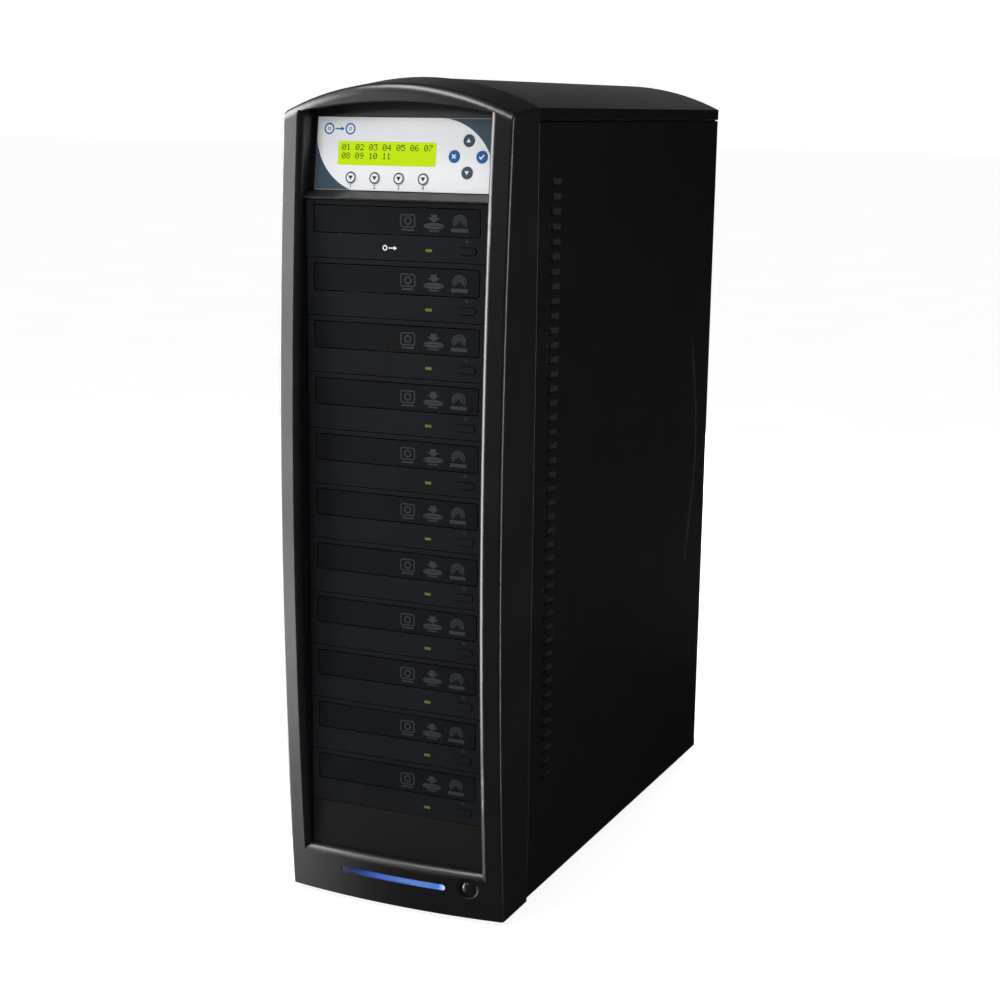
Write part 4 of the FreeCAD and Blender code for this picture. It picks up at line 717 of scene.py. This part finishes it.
def knurled_head(x, y, z):
    """The profile turned round the screw's axis, at that place.

    A rim's radius is the profile's less RIPPLE times its share times (1 - cos(KNURLS times angle)) / 2.
    """
    station, radius, depth = PROFILE.T
    angle = np.linspace(0, 2 * np.pi, KNURLS * POINTS_PER_KNURL, endpoint=False)
    rim = radius[:, None] - RIPPLE * depth[:, None] * (1 - np.cos(KNURLS * angle)) / 2
    across = np.broadcast_to(station[:, None], rim.shape)
    points = np.stack([rim * np.cos(angle), across, rim * np.sin(angle)], axis=-1).reshape(-1, 3)
    i, j = np.meshgrid(np.arange(len(station) - 1), np.arange(len(angle)), indexing="ij")
    after = (j + 1) % len(angle)
    faces = np.stack([i, i + 1, i + 1, i], axis=-1) * len(angle) + np.stack([j, j, after, after], axis=-1)
    return MM * points + (x, y, z), faces.reshape(-1, 4)


low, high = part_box("thumb_screws")
inset = HEAD_RADIUS * MM
head_y = high.y - HEAD_HEIGHT * MM
points, faces = np.empty((0, 3)), []
for x in (low.x + inset, high.x - inset):
    for z in (low.z + inset, high.z - inset):
        head_points, head_faces = knurled_head(x, head_y, z)
        faces += (head_faces + len(points)).tolist()
        points = np.vstack([points, head_points])
mesh = bpy.data.meshes.new("knurled_screws")
mesh.from_pydata(points.tolist(), [], faces)
mesh.materials.append(finishes["screw_metal"])
screws = bpy.data.objects.new("knurled_screws", mesh)
bpy.context.collection.objects.link(screws)
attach(screws, "chassis")
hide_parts("thumb_screws")
print("knurled screws:", len(faces), "faces")

# %% [markdown]
# ## Floor
# The tower stands on a plain pale floor, an opal sheet that is lit from below as a product table is. So
# it is bright and even and takes only a faint shadow. It lights the tower, but it is kept out of the
# tower's mirror image, because black plastic that mirrors a white floor looks grey.

# %% Studio floor
FLOOR_HALF = 30.0


def studio_floor():
    """Opal acrylic sheet that glows evenly, with a faint mottle."""
    values = {"Roughness": 0.9, "Specular IOR Level": 0.0, "Emission Strength": 0.92}
    material, tree, shader = start_finish("opal acrylic sheet, white", values)
    place = add(tree, "TexCoord").outputs["Object"]
    mottle = add(tree, "TexNoise", {"Vector": place, "Scale": per_mm(300.0)})
    blend = {MIX_SHARE: mottle.outputs["Fac"], MIX_FROM: linear("#fafafa"), MIX_TO: linear("#ffffff")}
    tone = add(tree, "Mix", blend, data_type="RGBA")
    tree.links.new(tone.outputs[MIXED], shader.inputs["Emission Color"])
    shader.inputs["Base Color"].default_value = linear("#808080")
    corners = [(a * FLOOR_HALF, b * FLOOR_HALF, 0) for a, b in SQUARE.tolist()]
    mesh = bpy.data.meshes.new("studio_floor")
    mesh.from_pydata(corners, [], [(0, 1, 2, 3)])
    mesh.materials.append(material)
    floor = bpy.data.objects.new("studio_floor", mesh)
    bpy.context.collection.objects.link(floor)
    floor.visible_glossy = False


studio_floor()
print(f"studio floor: {2 * FLOOR_HALF:.0f} m across")

# %% [markdown]
# ## Light
# A black object is shaped by what it mirrors, so most of the soft boxes are strips and cards that are
# only mirrored, each placed for one highlight. Two fills do the opposite: they light the panel and the
# rear, where there is print and detail to see, and are not mirrored. A card may even stand below the
# floor's level, because mirrored rays pass the floor. The sky is even and, like the floor, is kept out
# of the mirror image, which is what black cards do in a studio.

# %% Soft boxes and sky
SKY_LIGHT, SKY_SEEN = 0.35, 1.0


def soft_box(name, place, aim, width, height, watts, lights=True, mirrored=True):
    """Rectangular area light at that place, with its face turned to the aim.

    It lights surfaces, is mirrored in them, or both. Lengths are in metres.
    """
    light = bpy.data.lights.new(name, "AREA")
    light.shape = "RECTANGLE"
    light.size, light.size_y = width, height
    light.energy = watts
    lamp = bpy.data.objects.new(name, light)
    lamp.location = place
    lamp.visible_camera = False
    lamp.visible_diffuse, lamp.visible_glossy = lights, mirrored
    lamp.rotation_euler = (Vector(aim) - Vector(place)).to_track_quat("-Z", "Y").to_euler()
    bpy.context.collection.objects.link(lamp)


# Above: the brow's arch and the sill, then the right end of both.
soft_box("top_strip", (-0.45, -0.55, 2.0), (0, -0.2, 0.5), 1.2, 0.35, 22)
soft_box("brow_card", (0.15, -0.95, 1.85), (0.07, -0.23, 0.6), 0.7, 0.35, 10, lights=False)
# Beside: the window's right rim and left column, then the bezel's outer edge and its seam.
soft_box("left_strip", (-0.85, -0.36, 0.5), (0, -0.24, 0.5), 0.8, 1.4, 52, lights=False)
soft_box("right_strip", (1.28, -0.05, 0.35), (0.09, -0.24, 0.35), 0.38, 1.5, 16, lights=False)
# In front: the chin's left end, the panel's film and the fascias, the brow's face.
soft_box("chin_card", (-0.85, -0.75, -0.35), (-0.05, -0.24, 0.03), 0.6, 0.5, 1.7, lights=False)
soft_box("front_fill", (-0.75, -1.6, 1.35), (0, -0.2, 0.6), 0.6, 0.4, 10, mirrored=False)
soft_box("front_card", (-0.72, -1.65, 1.03), (0, -0.2, 0.61), 0.5, 0.3, 1.4, lights=False)
# Behind: the sheen of the top cover, the rear, and the bare metal at the rear.
soft_box("back_glow", (-0.7, 2.2, 1.0), (0, 0, 0.6), 1.4, 1.0, 0.9)
soft_box("back_fill", (-0.4, 2.0, 0.7), (0, 0.2, 0.35), 1.2, 1.2, 150, mirrored=False)
soft_box("rear_card", (-0.35, 1.6, 0.1), (0, 0.24, 0.4), 1.0, 0.8, 8, lights=False)
sky = bpy.data.worlds.new("studio_sky")
sky.use_nodes = True
seen = add(sky.node_tree, "LightPath").outputs["Is Camera Ray"]
strength = add(sky.node_tree, "MapRange", {"Value": seen, "To Min": SKY_LIGHT, "To Max": SKY_SEEN})
background = sky.node_tree.nodes["Background"]
background.inputs["Color"].default_value = linear("#ffffff")
sky.node_tree.links.new(strength.outputs["Result"], background.inputs["Strength"])
sky.cycles_visibility.glossy = False
bpy.context.scene.world = sky
bpy.context.scene.view_settings.view_transform = "Standard"
print("studio: ten soft boxes and an even sky")

# %% [markdown]
# ## Camera
# The viewpoint was found from the indicator lights, the doors' corners and the outline. It is level with
# the tower's top and 24.5 degrees to the right of the front, and the camera looks down by 14 degrees. A
# shift slides the picture on the sensor, so the tower sits where it should without turning the camera.

# %% Camera and hand-over
EYE = (0.63724, -1.47089, 0.61174)
AZIMUTH, ELEVATION, ROLL = math.radians(24.517), math.radians(13.899), math.radians(0.573)
SENSOR_MM, FOCAL_MM, SHIFT = 36.0, 68.46, (0.02, 0.08)
lens = bpy.data.cameras.new("camera")
lens.sensor_width, lens.lens = SENSOR_MM, FOCAL_MM
lens.shift_x, lens.shift_y = SHIFT
camera = bpy.data.objects.new("camera", lens)
turn = Matrix.Rotation(AZIMUTH, 4, "Z") @ Matrix.Rotation(math.pi / 2 - ELEVATION, 4, "X")
camera.matrix_world = Matrix.Translation(EYE) @ turn @ Matrix.Rotation(ROLL, 4, "Z")
bpy.context.collection.objects.link(camera)
bpy.context.scene.camera = camera
